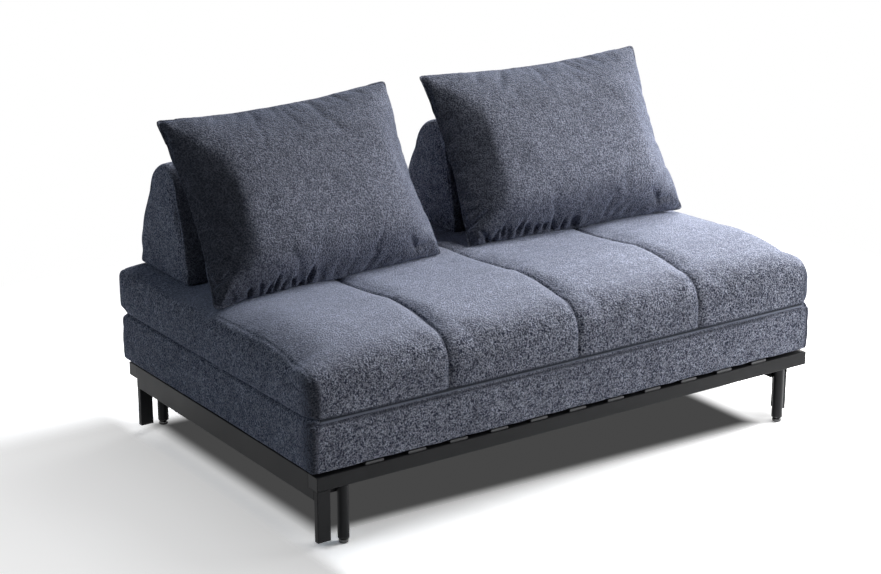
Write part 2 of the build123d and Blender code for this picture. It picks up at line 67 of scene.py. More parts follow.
class UpholsterySettings(bpy.types.PropertyGroup):
    """Colours and sizes of the cloth"""

    dark_fibre: bpy.props.FloatVectorProperty(
        name="Dark fibre", description="Colour deep between the fibres", subtype="COLOR",
        size=4, min=0, max=1, default=(0.022, 0.027, 0.05, 1))
    light_fibre: bpy.props.FloatVectorProperty(
        name="Light fibre", description="Colour of the fibre tips", subtype="COLOR",
        size=4, min=0, max=1, default=(0.53, 0.555, 0.66, 1))
    strip_color: bpy.props.FloatVectorProperty(
        name="Hinge cloth", description="Colour of the woven hinge cloth", subtype="COLOR",
        size=4, min=0, max=1, default=(0.25, 0.275, 0.35, 1))
    tuft_size: bpy.props.FloatProperty(
        name="Tuft size", description="Width of one tuft of pile", default=0.0062,
        min=0.001, max=0.02, unit="LENGTH")
    swell_cap: bpy.props.FloatProperty(
        name="Mattress swell", description="Furthest that a mattress or backrest point moves",
        default=0.006, min=0, max=0.03, unit="LENGTH")
    cushion_cap: bpy.props.FloatProperty(
        name="Cushion swell", description="Furthest that a cushion point moves",
        default=0.009, min=0, max=0.05, unit="LENGTH")
    seam_depth: bpy.props.FloatProperty(
        name="Seam depth", description="Depth of a sewn channel's crease",
        default=0.009, min=0, max=0.03, unit="LENGTH")


class SteelSettings(bpy.types.PropertyGroup):
    """Colours of the steel and plastic parts"""

    rail_color: bpy.props.FloatVectorProperty(
        name="Rails", description="Powder coat of the rails and legs", subtype="COLOR",
        size=4, min=0, max=1, default=(0.011, 0.0115, 0.013, 1))
    slat_color: bpy.props.FloatVectorProperty(
        name="Slats", description="Powder coat of the slats", subtype="COLOR",
        size=4, min=0, max=1, default=(0.038, 0.04, 0.045, 1))
    plastic_color: bpy.props.FloatVectorProperty(
        name="Plastic", description="Caps, glides and guides", subtype="COLOR",
        size=4, min=0, max=1, default=(0.016, 0.016, 0.018, 1))
    zinc_color: bpy.props.FloatVectorProperty(
        name="Zinc", description="Rivets, nuts and studs", subtype="COLOR",
        size=4, min=0, max=1, default=(0.62, 0.62, 0.61, 1))


class StitchSettings(bpy.types.PropertyGroup):
    """Sizes of the stitches"""

    pitch: bpy.props.FloatProperty(
        name="Pitch", description="Distance from stitch to stitch", default=0.0055,
        min=0.002, max=0.02, unit="LENGTH")
    length: bpy.props.FloatProperty(
        name="Length", description="Length of one stitch", default=0.0042,
        min=0.001, max=0.02, unit="LENGTH")
    thickness: bpy.props.FloatProperty(
        name="Thread", description="Thickness of the thread", default=0.0009,
        min=0.0002, max=0.004, unit="LENGTH")


class StageSettings(bpy.types.PropertyGroup):
    """Lamps, room light and camera"""

    right_power: bpy.props.FloatProperty(
        name="Right lamp", description="Power of the large lamp on the right", default=69.0,
        min=0, max=1000, unit="POWER")
    high_power: bpy.props.FloatProperty(
        name="High lamp", description="Power of the lamp above the seat", default=23.0,
        min=0, max=1000, unit="POWER")
    end_power: bpy.props.FloatProperty(
        name="End lamp", description="Power of the lamp behind the right end", default=54.0,
        min=0, max=1000, unit="POWER")
    back_power: bpy.props.FloatProperty(
        name="Back lamp", description="Power of the lamp above the back", default=19.0,
        min=0, max=1000, unit="POWER")
    front_power: bpy.props.FloatProperty(
        name="Front lamp", description="Power of the lamp at the front right", default=33.0,
        min=0, max=1000, unit="POWER")
    left_power: bpy.props.FloatProperty(
        name="Left lamp", description="Power of the weak lamp on the left", default=5.0,
        min=0, max=1000, unit="POWER")
    ambient: bpy.props.FloatProperty(
        name="Ambient", description="Strength of the even room light", default=0.02,
        min=0, max=2, subtype="FACTOR")
    focal_length: bpy.props.FloatProperty(
        name="Lens", description="Focal length in millimetres", default=90.19,
        min=10, max=300, unit="CAMERA", subtype="DISTANCE_CAMERA")


# Helpers for node trees

def add_node(tree, kind, inputs=None, **properties):
    """Adds one node; each of its inputs is a socket to link or a value to set."""
    node = tree.nodes.new(kind)
    for key, value in properties.items():
        setattr(node, key, value)
    for key, value in (inputs or {}).items():
        if isinstance(value, bpy.types.NodeSocket):
            tree.links.new(value, node.inputs[key])
        else:
            node.inputs[key].default_value = value
    return node


def output_of(tree, kind, inputs=None, output=0, **properties):
    """Adds one node and gives one of its outputs."""
    return add_node(tree, kind, inputs, **properties).outputs[output]


def new_material(name):
    """A material and its empty tree."""
    material = bpy.data.materials.new(name)
    material.use_nodes = True
    material.node_tree.nodes.clear()
    return material, material.node_tree


def arrange(tree):
    """Sets the nodes out in columns, each to the left of what it feeds."""
    columns = {node.name: 0 for node in tree.nodes}
    for _ in tree.nodes:
        for link in tree.links:
            source = link.from_node.name
            columns[source] = max(columns[source], columns[link.to_node.name] + 1)
    rows = {}
    for name, column in columns.items():
        rows[column] = rows.get(column, 0) + 1
        tree.nodes[name].location = (-220 * column, -260 * rows[column])


def show(tree, surface, kind="ShaderNodeOutputMaterial"):
    """Ends a tree with its surface."""
    add_node(tree, kind, {"Surface": surface})
    arrange(tree)


def show_principled(tree, **inputs):
    """Ends a tree with a principled shader; an input's name has underscores for spaces."""
    inputs = {key.replace("_", " "): value for key, value in inputs.items()}
    show(tree, output_of(tree, "ShaderNodeBsdfPrincipled", inputs))


def own_coords(tree):
    """The piece's own coordinates."""
    return output_of(tree, "ShaderNodeTexCoord", output="Object")


def painted_light_of(tree):
    """The piece's painted light and shade, from its own attribute."""
    return output_of(tree, "ShaderNodeAttribute", output="Fac", attribute_name="pile")


def noise_over(tree, coords, scale, detail, roughness=0.5):
    """Noise from 0 to 1."""
    return output_of(tree, "ShaderNodeTexNoise", {
        "Vector": coords, "Scale": scale, "Detail": detail, "Roughness": roughness}, "Fac")


def map_range(tree, value, low, high, at_low, at_high, **properties):
    """Turns values between low and high into values between at_low and at_high."""
    return output_of(tree, "ShaderNodeMapRange", {
        "Value": value, "From Min": low, "From Max": high, "To Min": at_low, "To Max": at_high}, **properties)


def math_node(tree, operation, a, b=0.0):
    """One sum; a and b are sockets or numbers."""
    return output_of(tree, "ShaderNodeMath", {0: a, 1: b}, operation=operation)


def grey(value):
    """An opaque grey."""
    return (value, value, value, 1)


def scaled(color, factor, lift=0.0):
    """A colour made darker or paler."""
    return tuple(min(1, value * factor + lift) for value in color[:3]) + (1,)


def color_ramp(tree, factor, stops):
    """Turns a factor into colours between stops; a number stands for a grey."""
    socket = output_of(tree, "ShaderNodeValToRGB", {"Fac": factor}, "Color")
    elements = socket.node.color_ramp.elements
    stops = [(position, color if isinstance(color, tuple) else grey(color)) for position, color in stops]
    elements[0].position, elements[0].color = stops[0]
    elements[1].position, elements[1].color = stops[-1]
    for position, color in stops[1:-1]:
        elements.new(position).color = color
    return socket


def mix_color(tree, factor, a, b, blend="MIX"):
    """Mixes two colours; each of factor, a and b is a socket or a value."""
    inputs = {0: factor, 6: a, 7: b}
    return output_of(tree, "ShaderNodeMix", inputs, 2, data_type="RGBA", blend_type=blend)


def multiplied(tree, color, *tones):
    """A colour times one tone after another."""
    for tone in tones:
        color = mix_color(tree, 1.0, color, tone, "MULTIPLY")
    return color


def mix_shader(tree, factor, a, b):
    """Mixes two shaders by a factor socket."""
    return output_of(tree, "ShaderNodeMixShader", {0: factor, 1: a, 2: b})


def relief(tree, height, strength, distance, **base):
    """The surface's normals with a height laid over them."""
    return output_of(tree, "ShaderNodeBump", {
        "Height": height, "Strength": strength, "Distance": distance, **base})


def seen_rays(tree):
    """One for rays that the camera, a reflection or a clear surface sends."""
    rays = add_node(tree, "ShaderNodeLightPath").outputs
    first = math_node(tree, "MAXIMUM", rays["Is Camera Ray"], rays["Is Glossy Ray"])
    return math_node(tree, "MAXIMUM", first, rays["Is Transmission Ray"])


# Finishes

def chenille_material(name, dark, light, tuft):
    """Chenille: pale curled fibres over a dark ground, in clumps and soft patches.

    The piece's own attribute "pile" carries painted light and shade: above 0 a painted highlight,
    paler and smoother, and below 0 painted shade, darker.
    """
    material, tree = new_material(name)
    coords = own_coords(tree)
    field = noise_over(tree, coords, 1 / (tuft * 1.15), 2, 0.55)
    away = math_node(tree, "ABSOLUTE", math_node(tree, "SUBTRACT", field, 0.5))
    curls = map_range(tree, away, 0.0, 0.11, 1.0, 0.0)
    flecks = noise_over(tree, coords, 1 / (tuft * 0.62), 2, 0.6)
    flecks = map_range(tree, flecks, 0.3, 0.7, 0.0, 1.0)
    fibres = math_node(tree, "ADD", math_node(tree, "MULTIPLY", curls, 0.42),
                       math_node(tree, "MULTIPLY", flecks, 0.58))
    middle = tuple(0.7 * d + 0.3 * b for d, b in zip(dark[:3], light[:3])) + (1,)
    ground = color_ramp(tree, fibres, [(0.16, dark), (0.47, middle), (0.8, light)])
    clumps = color_ramp(tree, noise_over(tree, coords, 1 / (tuft * 4), 3), [(0.32, 0.76), (0.68, 1.2)])
    patches = color_ramp(tree, noise_over(tree, coords, 1 / 0.11, 4), [(0.3, 0.86), (0.7, 1.12)])
    patched = multiplied(tree, ground, clumps, patches)
    # The attribute "pile" holds painted light and shade: a painted highlight evens the fibres towards a pale
    # plain tone and lifts them up to half again; painted shade evens them a little and darkens them.
    pile = painted_light_of(tree)
    painted_highlight_evening = map_range(tree, pile, 0.0, 1.0, 0.0, 0.6)
    painted_shade = map_range(tree, pile, -0.15, 0.0, 0.38, 0.0)
    even = math_node(tree, "ADD", painted_highlight_evening, painted_shade)
    evened = mix_color(tree, even, patched, scaled(middle, 1.3))
    paler = map_range(tree, pile, 0.0, 1.0, 1.0, 1.5)
    darker = map_range(tree, pile, -1.0, 0.0, 0.28, 1.0)
    show_principled(tree, Base_Color=multiplied(tree, evened, math_node(tree, "MULTIPLY", paler, darker)),
                    Roughness=0.95, Specular_IOR_Level=0.08, Sheen_Weight=0.5, Sheen_Roughness=0.4,
                    Sheen_Tint=(0.6, 0.7, 1, 1), Normal=relief(tree, fibres, 0.9, 0.0024))
    return material


def woven_material(name, color, pitch, depth):
    """A plain weave of crossing threads, with painted shade where the attribute "pile" is below 0."""
    material, tree = new_material(name)
    bands = {"Vector": own_coords(tree), "Scale": 0.314 / pitch, "Distortion": 0.6, "Detail": 1}
    threads = [output_of(tree, "ShaderNodeTexWave", bands, "Fac", wave_type="BANDS", bands_direction=axis)
               for axis in ("X", "Z")]
    height = math_node(tree, "MAXIMUM", *threads)
    shade = color_ramp(tree, height, [(0.0, scaled(color, 0.45)), (1.0, scaled(color, 1.25))])
    # Painted shade: darker where the attribute is below 0.
    painted_shade = map_range(tree, painted_light_of(tree), -1.0, 0.0, 0.2, 1.0)
    show_principled(tree, Base_Color=multiplied(tree, shade, painted_shade), Roughness=0.9,
                    Specular_IOR_Level=0.2, Normal=relief(tree, height, 0.5, depth))
    return material


def coated_material(name, color, roughness, grain, metallic=0.0, edge=0.0012, shine=0.3):
    """A hard coated surface: fine orange peel, dust in broad patches and softly rounded edges."""
    material, tree = new_material(name)
    coords = own_coords(tree)
    peel = noise_over(tree, coords, 1 / grain, 3)
    dust = noise_over(tree, coords, 14, 4)
    shade = color_ramp(tree, dust, [(0.35, scaled(color, 0.82)), (0.7, scaled(color, 1.25, 0.002))])
    gloss = color_ramp(tree, dust, [(0.3, roughness * 0.88), (0.7, roughness * 1.12)])
    rounded = output_of(tree, "ShaderNodeBevel", {"Radius": edge}, samples=6)
    show_principled(tree, Base_Color=shade, Roughness=gloss, Metallic=metallic, Specular_IOR_Level=shine,
                    Normal=relief(tree, peel, 0.25, grain * 0.12, Normal=rounded))
    return material


def wood_material(name, color):
    """Raw plywood with a faint grain."""
    material, tree = new_material(name)
    stretched = output_of(tree, "ShaderNodeMapping", {"Vector": own_coords(tree), "Scale": (3, 60, 60)})
    grain = noise_over(tree, stretched, 3, 6)
    shade = color_ramp(tree, grain, [(0.3, scaled(color, 0.7)), (0.7, color)])
    show_principled(tree, Base_Color=shade, Roughness=0.7)
    return material


def floor_material(name, left, right, half_depth):
    """A white floor: near the object it shows the lamps' shadow together with a painted shadow beneath the
    object and a painted shadow fading out to its left; further out it is plain white.
    """
    material, tree = new_material(name)
    calc = partial(math_node, tree)
    ease = partial(map_range, tree, interpolation_type="SMOOTHSTEP")
    apart = add_node(tree, "ShaderNodeSeparateXYZ", {0: own_coords(tree)}).outputs
    x, y = apart["X"], apart["Y"]
    across = calc("ABSOLUTE", calc("SUBTRACT", x, (left + right) / 2))
    along = calc("ABSOLUTE", calc("ADD", y, calc("MULTIPLY", x, 0.035)))
    beyond = [calc("SUBTRACT", across, (right - left) / 2), calc("SUBTRACT", along, half_depth)]
    # Share of the painted dark shadow beneath the object: full well inside the rectangle, none at its edge.
    under = ease(calc("MAXIMUM", *beyond), -0.07, -0.008, 1.0, 0.0)
    outward = [calc("MAXIMUM", value, 0.0) for value in beyond]
    distance = calc("SQRT", calc("ADD", *[calc("MULTIPLY", value, value) for value in outward]))
    fade = color_ramp(tree, calc("DIVIDE", distance, 1.6), [
        (0.0, 0), (0.06, 0.26), (0.125, 0.5), (0.31, 0.6), (0.44, 0.72), (0.8, 1)])
    # Painted shadow on the floor to the object's left, paler further out.
    leftward = calc("SUBTRACT", left, x)
    beside = calc("MULTIPLY", ease(y, 0.46, 0.76, 1.0, 0.0), ease(y, -2.0, -0.7, 0.0, 1.0))
    at_left = calc("MULTIPLY", beside, ease(leftward, -0.03, 0.06, 0.0, 0.92))
    painted_side_shadow = color_ramp(tree, calc("DIVIDE", leftward, 1.8), [
        (0.0, 0.53), (0.11, 0.65), (0.28, 0.79), (0.5, 0.88), (1.0, 1)])
    # Painted shadows: a dark grey beneath the object, a mid grey mixed with the lit floor beneath its body,
    # and the painted side shadow mixed into the plain white.
    tones = (grey(0.061), grey(0.6), mix_color(tree, at_left, grey(1), painted_side_shadow))
    shade, painted_half_shade, white = [output_of(tree, "ShaderNodeEmission", {"Color": tone}) for tone in tones]
    lit, plain = [output_of(tree, "ShaderNodeBsdfDiffuse", {"Color": grey(tone)}) for tone in (3.0, 0.8)]
    body = calc("MAXIMUM", calc("SUBTRACT", calc("ABSOLUTE", x), 0.75), beyond[1])
    beneath = mix_shader(tree, ease(body, -0.04, 0.02, 0.8, 0.0), lit, painted_half_shade)
    near = mix_shader(tree, under, beneath, shade)
    shown = mix_shader(tree, calc("MAXIMUM", fade, at_left), near, white)
    show(tree, mix_shader(tree, seen_rays(tree), plain, shown))
    return material


# Helpers for meshes

def vectors_of(items, key):
    """One vector of each item, as an array."""
    values = np.empty(len(items) * 3)
    items.foreach_get(key, values)
    return values.reshape(-1, 3)


def points_of(piece):
    """The piece's points as an array."""
    return vectors_of(piece.data.vertices, "co")


def normals_of(piece):
    """The piece's point normals as an array."""
    return vectors_of(piece.data.vertex_normals, "vector")


def move_points(piece, co):
    """Puts the piece's points where the array says."""
    piece.data.vertices.foreach_set("co", np.asarray(co, float).ravel())
    piece.data.update()


def new_object(name, data):
    """An object in the scene."""
    thing = bpy.data.objects.new(name, data)
    bpy.context.scene.collection.objects.link(thing)
    return thing


def mesh_piece(name, vertices, faces, smooth=True):
    """A new piece from points and faces."""
    mesh = bpy.data.meshes.new(name)
    mesh.from_pydata([tuple(v) for v in vertices], [], faces)
    mesh.validate()
    mesh.update()
    if smooth:
        mesh.shade_smooth()
    return new_object(name, mesh)


def settled(piece):
    """Turns the piece's modifiers into its mesh."""
    graph = bpy.context.evaluated_depsgraph_get()
    graph.update()
    piece.data = bpy.data.meshes.new_from_object(piece.evaluated_get(graph), depsgraph=graph)
    piece.modifiers.clear()
    piece.data.name = piece.name
    return piece


def surface_of(piece):
    """The piece's faces in a tree that rays can be cast at."""
    mesh = piece.data
    return BVHTree.FromPolygons([v.co for v in mesh.vertices], [p.vertices for p in mesh.polygons])


def drop(surface, x, y):
    """Where a point dropped from above lands, and the normal there."""
    return surface.ray_cast(Vector((x, y, 1)), Vector((0, 0, -1)))[:2]


def grid_faces(index, columns, rows, flip=False):
    """The quads of a grid, whose points the index numbers by row and column."""
    faces = []
    for row in range(rows):
        for column in range(columns):
            quad = (index(row, column), index(row, column + 1),
                    index(row + 1, column + 1), index(row + 1, column))
            faces.append(quad[::-1] if flip else quad)
    return faces


def side_points(start, steps):
    """Points along one side of a section.

    A step is (end, spans) for a straight line, (middle, end, spans) for an arc through a middle
    point or (bow, end, spans) for a shallow arc.
    """
    points = [np.array(start, float)]
    for step in steps:
        spans, last, first = step[-1], np.array(step[-2], float), points[-1]
        middle = (first + last) / 2
        if len(step) == 3:
            middle = bowed(first, last, step[0]) if isinstance(step[0], float) else step[0]
        bend = (np.array(middle) - (first + last) / 2) * 2
        shares = np.arange(1, spans + 1) / spans
        points += [first + (last - first) * t + bend * 2 * t * (1 - t) for t in shares]
    return np.array(points)


def lattice_piece(name, stations, section, bulge):
    """A closed piece in quads: sections along X, each of four sides, and a swollen panel at each end."""
    sections = [section(x) for x in stations]
    rows = [np.vstack([side[:-1] for side in sides]) for sides in sections]
    across, up, around = len(sections[0][0]) - 1, len(sections[0][1]) - 1, len(rows[0])
    vertices = [(x, y, z) for x, row in zip(stations, rows) for y, z in row]
    faces = []
    for i in range(len(stations) - 1):
        for k in range(around):
            a, b = i * around + k, i * around + (k + 1) % around
            faces.append((a, b, b + around, a + around))
    rim = ([(j, 0) for j in range(across)] + [(across, k) for k in range(up)]
           + [(across - j, up) for j in range(across)] + [(0, up - k) for k in range(up)])
    for end, sign in ((0, -1), (len(stations) - 1, 1)):
        bottom, rear, top, front = sections[end]
        top, front = top[::-1], front[::-1]
        index = {cell: end * around + i for i, cell in enumerate(rim)}
        for j in range(1, across):
            for k in range(1, up):
                u, v = j / across, k / up
                y, z = ((1 - v) * bottom[j] + v * top[j] + (1 - u) * front[k] + u * rear[k]
                        - (1 - u) * (1 - v) * bottom[0] - u * (1 - v) * bottom[-1]
                        - (1 - u) * v * top[0] - u * v * top[-1])
                swollen = (1 - abs(2 * u - 1) ** 3) * (1 - abs(2 * v - 1) ** 2.5)
                index[j, k] = len(vertices)
                vertices.append((stations[end] + sign * bulge * swollen, y, z))
        for j in range(across):
            for k in range(up):
                quad = (index[j, k], index[j + 1, k], index[j + 1, k + 1], index[j, k + 1])
                faces.append(quad[::-1] if sign < 0 else quad)
    return mesh_piece(name, vertices, faces)


def end_offsets(radius):
    """Offsets from an end at which a rounded edge gets its sections."""
    return [radius * share for share in (0.0, 0.12, 0.3, 0.55, 0.8, 1.0, 1.35, 1.8)]


def round_inset(offset, radius, most):
    """How far a rounded edge is drawn in at an offset from the end."""
    if offset >= radius:
        return 0.0
    return most * (1 - math.sqrt(max(0.0, 1 - ((radius - offset) / radius) ** 2)))


def station_list(low, high, step, radius, seams=(), seam_offsets=()):
    """Places of the sections: even, and closer together at the ends and the seams."""
    fixed = [low + o for o in end_offsets(radius)] + [high - o for o in end_offsets(radius)]
    fixed += [seam + o for seam in seams for o in seam_offsets]
    count = round((high - low) / step)
    even = [low + (high - low) * i / count for i in range(count + 1)]
    keep = [x for x in even if min(abs(x - f) for f in fixed) > step * 0.55]
    return sorted(fixed + keep)


def tip_middle(start, end, tip, draw=0.4142):
    """The middle of a rounded corner, drawn towards its tip."""
    middle = [(start[i] + end[i]) / 2 for i in (0, 1)]
    return tuple(middle[i] + (tip[i] - middle[i]) * draw for i in (0, 1))


def bowed(start, end, bow):
    """The middle of a shallow arc, bowed out to the left of its direction."""
    dy, dz = end[0] - start[0], end[1] - start[1]
    length = math.hypot(dy, dz)
    return ((start[0] + end[0]) / 2 - dz / length * bow, (start[1] + end[1]) / 2 + dy / length * bow)


def split(start, middle, end):
    """The middle points of the two halves of a smooth arc, and the point between them."""
    start, middle, end = (np.array(v, float) for v in (start, middle, end))
    control = middle * 2 - (start + end) / 2
    first, second = (start + control) / 2, (control + end) / 2
    centre = (first + second) / 2
    return ((start + 2 * first + centre) / 4, centre, (centre + 2 * second + end) / 4)


def swell(piece, pins, cap, pressure, slack, steps=20):
    """Fills the piece with air as cloth, and keeps each point within the cap of where it was."""
    before = points_of(piece)
    pins = np.round(pins, 1)
    group = piece.vertex_groups.new(name="pins")
    for level in np.unique(pins[pins > 0]):
        group.add(np.nonzero(pins == level)[0].tolist(), float(level), "REPLACE")
    cloth = piece.modifiers.new("cloth", "CLOTH")
    settings = cloth.settings
    settings.quality = 4
    settings.mass = 0.35
    settings.tension_stiffness = 18
    settings.compression_stiffness = 18
    settings.shear_stiffness = 6
    settings.bending_stiffness = 1.2
    settings.vertex_group_mass = "pins"
    settings.pin_stiffness = 0.8
    settings.use_pressure = True
    settings.uniform_pressure_force = pressure
    settings.shrink_min = -slack
    settings.effector_weights.gravity = 0
    cloth.collision_settings.use_collision = False
    cloth.point_cache.frame_start = 1
    cloth.point_cache.frame_end = steps
    for step in range(1, steps + 1):
        bpy.context.scene.frame_set(step)
    blown = piece.evaluated_get(bpy.context.evaluated_depsgraph_get())
    after = vectors_of(blown.to_mesh().vertices, "co")
    blown.to_mesh_clear()
    piece.modifiers.clear()
    piece.vertex_groups.clear()
    bpy.context.scene.frame_set(1)
    move = after - before
    length = np.linalg.norm(move, axis=1, keepdims=True)
    bent = cap * np.tanh(length / cap) / np.maximum(length, 1e-9)
    move_points(piece, before + move * bent)


def refine(piece):
    """One level of subdivision."""
    finer = piece.modifiers.new("finer", "SUBSURF")
    finer.levels = 1
    finer.render_levels = 1
    settled(piece)
    piece.data.shade_smooth()


def noise_at(co, scale, seed=0.0):
    """Smooth noise from -1 to 1 at each point."""
    offset = Vector((seed * 13.7, seed * 5.3, seed * 9.1))
    return np.array([noise.noise(Vector(p) * scale + offset) for p in co])


def ripple(piece, height, size, seed, share=1.0):
    """Small uneven swells over the piece, where the share lets them."""
    co = points_of(piece)
    rise = noise_at(co, 1 / size, seed) + 0.5 * noise_at(co, 2.3 / size, seed + 3)
    move_points(piece, co + normals_of(piece) * (rise * height * share)[:, None])


def ramp(value, low, span):
    """From 0 at low to 1 a span later, evenly."""
    return np.clip((value - low) / span, 0, 1)


def smooth_step(value, low, high):
    """From 0 at low to 1 at high, softly."""
    share = ramp(value, low, high - low)
    return share * share * (3 - 2 * share)


def paint_light_and_shade(piece, values):
    """Keeps the painted light and shade at each point, for the cloth's material: above 0 paler, below 0
    darker.
    """
    pile = piece.data.attributes.new("pile", "FLOAT", "POINT")
    pile.data.foreach_set("value", np.asarray(values, dtype=np.float32))


def front_painted_shade(co, normals, start, fold_height):
    """How much shade is painted round the upright front corners and along the fold of the mattress."""
    x, y, z = co.T
    at_corner = smooth_step(np.abs(x), start, start + 0.014) * smooth_step(-y, 0.42, 0.458)
    at_fold = smooth_step(-y, 0.462, 0.468) * smooth_step(-np.abs(z - fold_height), -0.004, -0.002)
    return 0.9 * np.maximum(at_corner, at_fold) * smooth_step(-normals[:, 2], -0.8, -0.4)


def paint(piece, *names):
    """Gives the piece its materials in order."""
    for name in names:
        piece.data.materials.append(materials[name])


def dress(piece, node_names, body):
    """Puts a finished piece on its body in place of its CAD nodes."""
    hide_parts(*node_names)
    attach(piece, body)


materials = {}


def make_materials(scene):
    """Makes every finish once."""
    cloth, steel = scene.upholstery_settings, scene.steel_settings
    fibres = (tuple(cloth.dark_fibre), tuple(cloth.light_fibre), cloth.tuft_size)
    materials["chenille"] = chenille_material("slate_chenille", *fibres)
    weaves = {
        # name, colour, pitch of the threads and depth
        "strip": ("hinge_cloth", tuple(cloth.strip_color), 0.003, 0.0008),
        "lining": ("base_lining", (0.02, 0.02, 0.022, 1), 0.0012, 0.0004),
        "thread": ("sewing_thread", (0.05, 0.056, 0.08, 1), 0.0006, 0.0002),
    }
    coats = {
        # name, colour, roughness, size of the grain, and what differs from the usual coat
        "rails": ("black_powder_coat", steel.rail_color, 0.44, 0.0011, {"edge": 0.0035, "shine": 0.17}),
        "slats": ("grey_powder_coat", steel.slat_color, 0.33, 0.0011, {"edge": 0.0022, "shine": 0.5}),
        "plastic": ("black_plastic", steel.plastic_color, 0.5, 0.0006, {}),
        "gloss": ("gloss_foot_plastic", steel.plastic_color, 0.08, 0.0015, {"shine": 0.9}),
        "zinc": ("zinc_steel", steel.zinc_color, 0.3, 0.0005, {"metallic": 1.0}),
    }
    for key, values in weaves.items():
        materials[key] = woven_material(*values)
    for key, (name, color, roughness, grain, other) in coats.items():
        materials[key] = coated_material(name, tuple(color), roughness, grain, **other)
    materials["board"] = wood_material("raw_plywood", (0.55, 0.4, 0.25, 1))


# Operators, one for each piece or group of like pieces

class SOFABED_OT_steel_finish(bpy.types.Operator):
    """Coats the rails, legs, slats, rivets and plastic fittings"""

    bl_idname = "sofabed.steel_finish"
    bl_label = "Steel and Plastic Finish"

    def execute(self, context):
        make_materials(context.scene)
        finish_of = {
            "rear_slats": "slats", "rear_slat_rivets": "zinc", "front_slat_rivets": "zinc",
            "rear_rail_end_caps": "plastic", "front_rail_end_caps": "plastic",
            "left_guide_blocks": "plastic", "right_guide_pads": "plastic",
            "leg_inserts": "plastic", "flat_leg_glides": "plastic",
        }
        for name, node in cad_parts.items():
            finish = finish_of.get(name, "slats" if name.startswith("front_slat_") else "rails")
            if name.endswith("board"):
                finish = "board"
            node.data.materials.clear()
            paint(node, finish)
        return {"FINISHED"}


def turned_ring(outline, centre, turns):
    """Points and faces of a shape turned about an upright axis."""
    vertices, faces = [], []
    x, y = centre
    for step in range(turns):
        angle = 2 * math.pi * step / turns
        for radius, height in outline:
            vertices.append((x + radius * math.cos(angle), y + radius * math.sin(angle), height))
    count = len(outline)
    for step in range(turns):
        here, there = step * count, (step + 1) % turns * count
        for i in range(count - 1):
            faces.append((here + i, there + i, there + i + 1, here + i + 1))
    bottom, top = len(vertices), len(vertices) + 1
    vertices += [(x, y, outline[0][1]), (x, y, outline[-1][1])]
    for step in range(turns):
        here, there = step * count, (step + 1) % turns * count
        faces.append((bottom, there, here))
        faces.append((top, here + count - 1, there + count - 1))
    return vertices, faces


class SOFABED_OT_levelling_feet(bpy.types.Operator):
    """Makes the four levelling feet: a glossy pad, a nut and a stud"""

    bl_idname = "sofabed.levelling_feet"
    bl_label = "Levelling Feet"

    def execute(self, context):
        for corner in ("front_left", "front_right", "rear_left", "rear_right"):
            node = f"levelling_foot_{corner}"
            low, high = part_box(node)
            centre = ((low.x + high.x) / 2, (low.y + high.y) / 2)
            radius = (high.x - low.x) / 2
            shares = ((0.8, 0.0), (0.93, 0.0004), (0.985, 0.0018), (1.0, 0.0038), (0.99, 0.0062),
                      (0.93, 0.0082), (0.82, 0.0094), (0.7, 0.0099))
            pad = [(radius * share, height) for share, height in shares] + [(0.0072, 0.01)]
            nut = [(0.0064, 0.0098), (0.0074, 0.0103), (0.0075, 0.0108), (0.0075, 0.0122), (0.0072, 0.0127),
                   (0.0041, 0.0128), (0.0040, 0.0131), (0.0040, high.z - 0.0006), (0.0034, high.z)]
            pad_points, pad_faces = turned_ring(pad, centre, 40)
            nut_points, nut_faces = turned_ring(nut, centre, 24)
            shift = len(pad_points)
            nut_faces = [tuple(i + shift for i in face) for face in nut_faces]
            foot = mesh_piece(f"foot_{corner}", pad_points + nut_points, pad_faces + nut_faces)
            paint(foot, "gloss", "zinc")
            for polygon in foot.data.polygons:
                polygon.material_index = 0 if polygon.index < len(pad_faces) else 1
            dress(foot, [node], f"foot_{corner}")
        return {"FINISHED"}


def crease(piece, places, depth, width, seed, bottom=None):
    """Presses sewn lines into the piece at places along X; they fade out towards a bottom, if given."""
    co = points_of(piece)
    wander = 0.0012 * noise_at(co * np.array([0.2, 1, 1]), 9, seed)
    pull = np.zeros(len(co))
    for place in places:
        away = np.abs(co[:, 0] - place - wander)
        pucker = 1 + 0.35 * noise_at(co, 28, seed + place)
        pull += depth * np.exp(-(away / width) ** 1.5) * pucker
    if bottom is not None:
        pull *= ramp(co[:, 2] - bottom, 0.003, 0.01)
    move_points(piece, co - normals_of(piece) * pull[:, None])


seam_places = (-0.38, 0.0, 0.38)
mattress_low_x, mattress_high_x = -0.76, 0.76
mattress_front, mattress_rear = -0.474, 0.476
lower_bottom, lower_ledge, lower_top = 0.1893, 0.3037, 0.3173
upper_bottom, upper_edge, seat_height, crown_rise = 0.3178, 0.4348, 0.4428, 0.035
backs_start, backs_span = 0.14, 0.06
section_step = 0.0165


def from_end(x, low=mattress_low_x, high=mattress_high_x):
    """How far a place is from the nearer end, of the mattress if no ends are given."""
    return min(x - low, high - x)


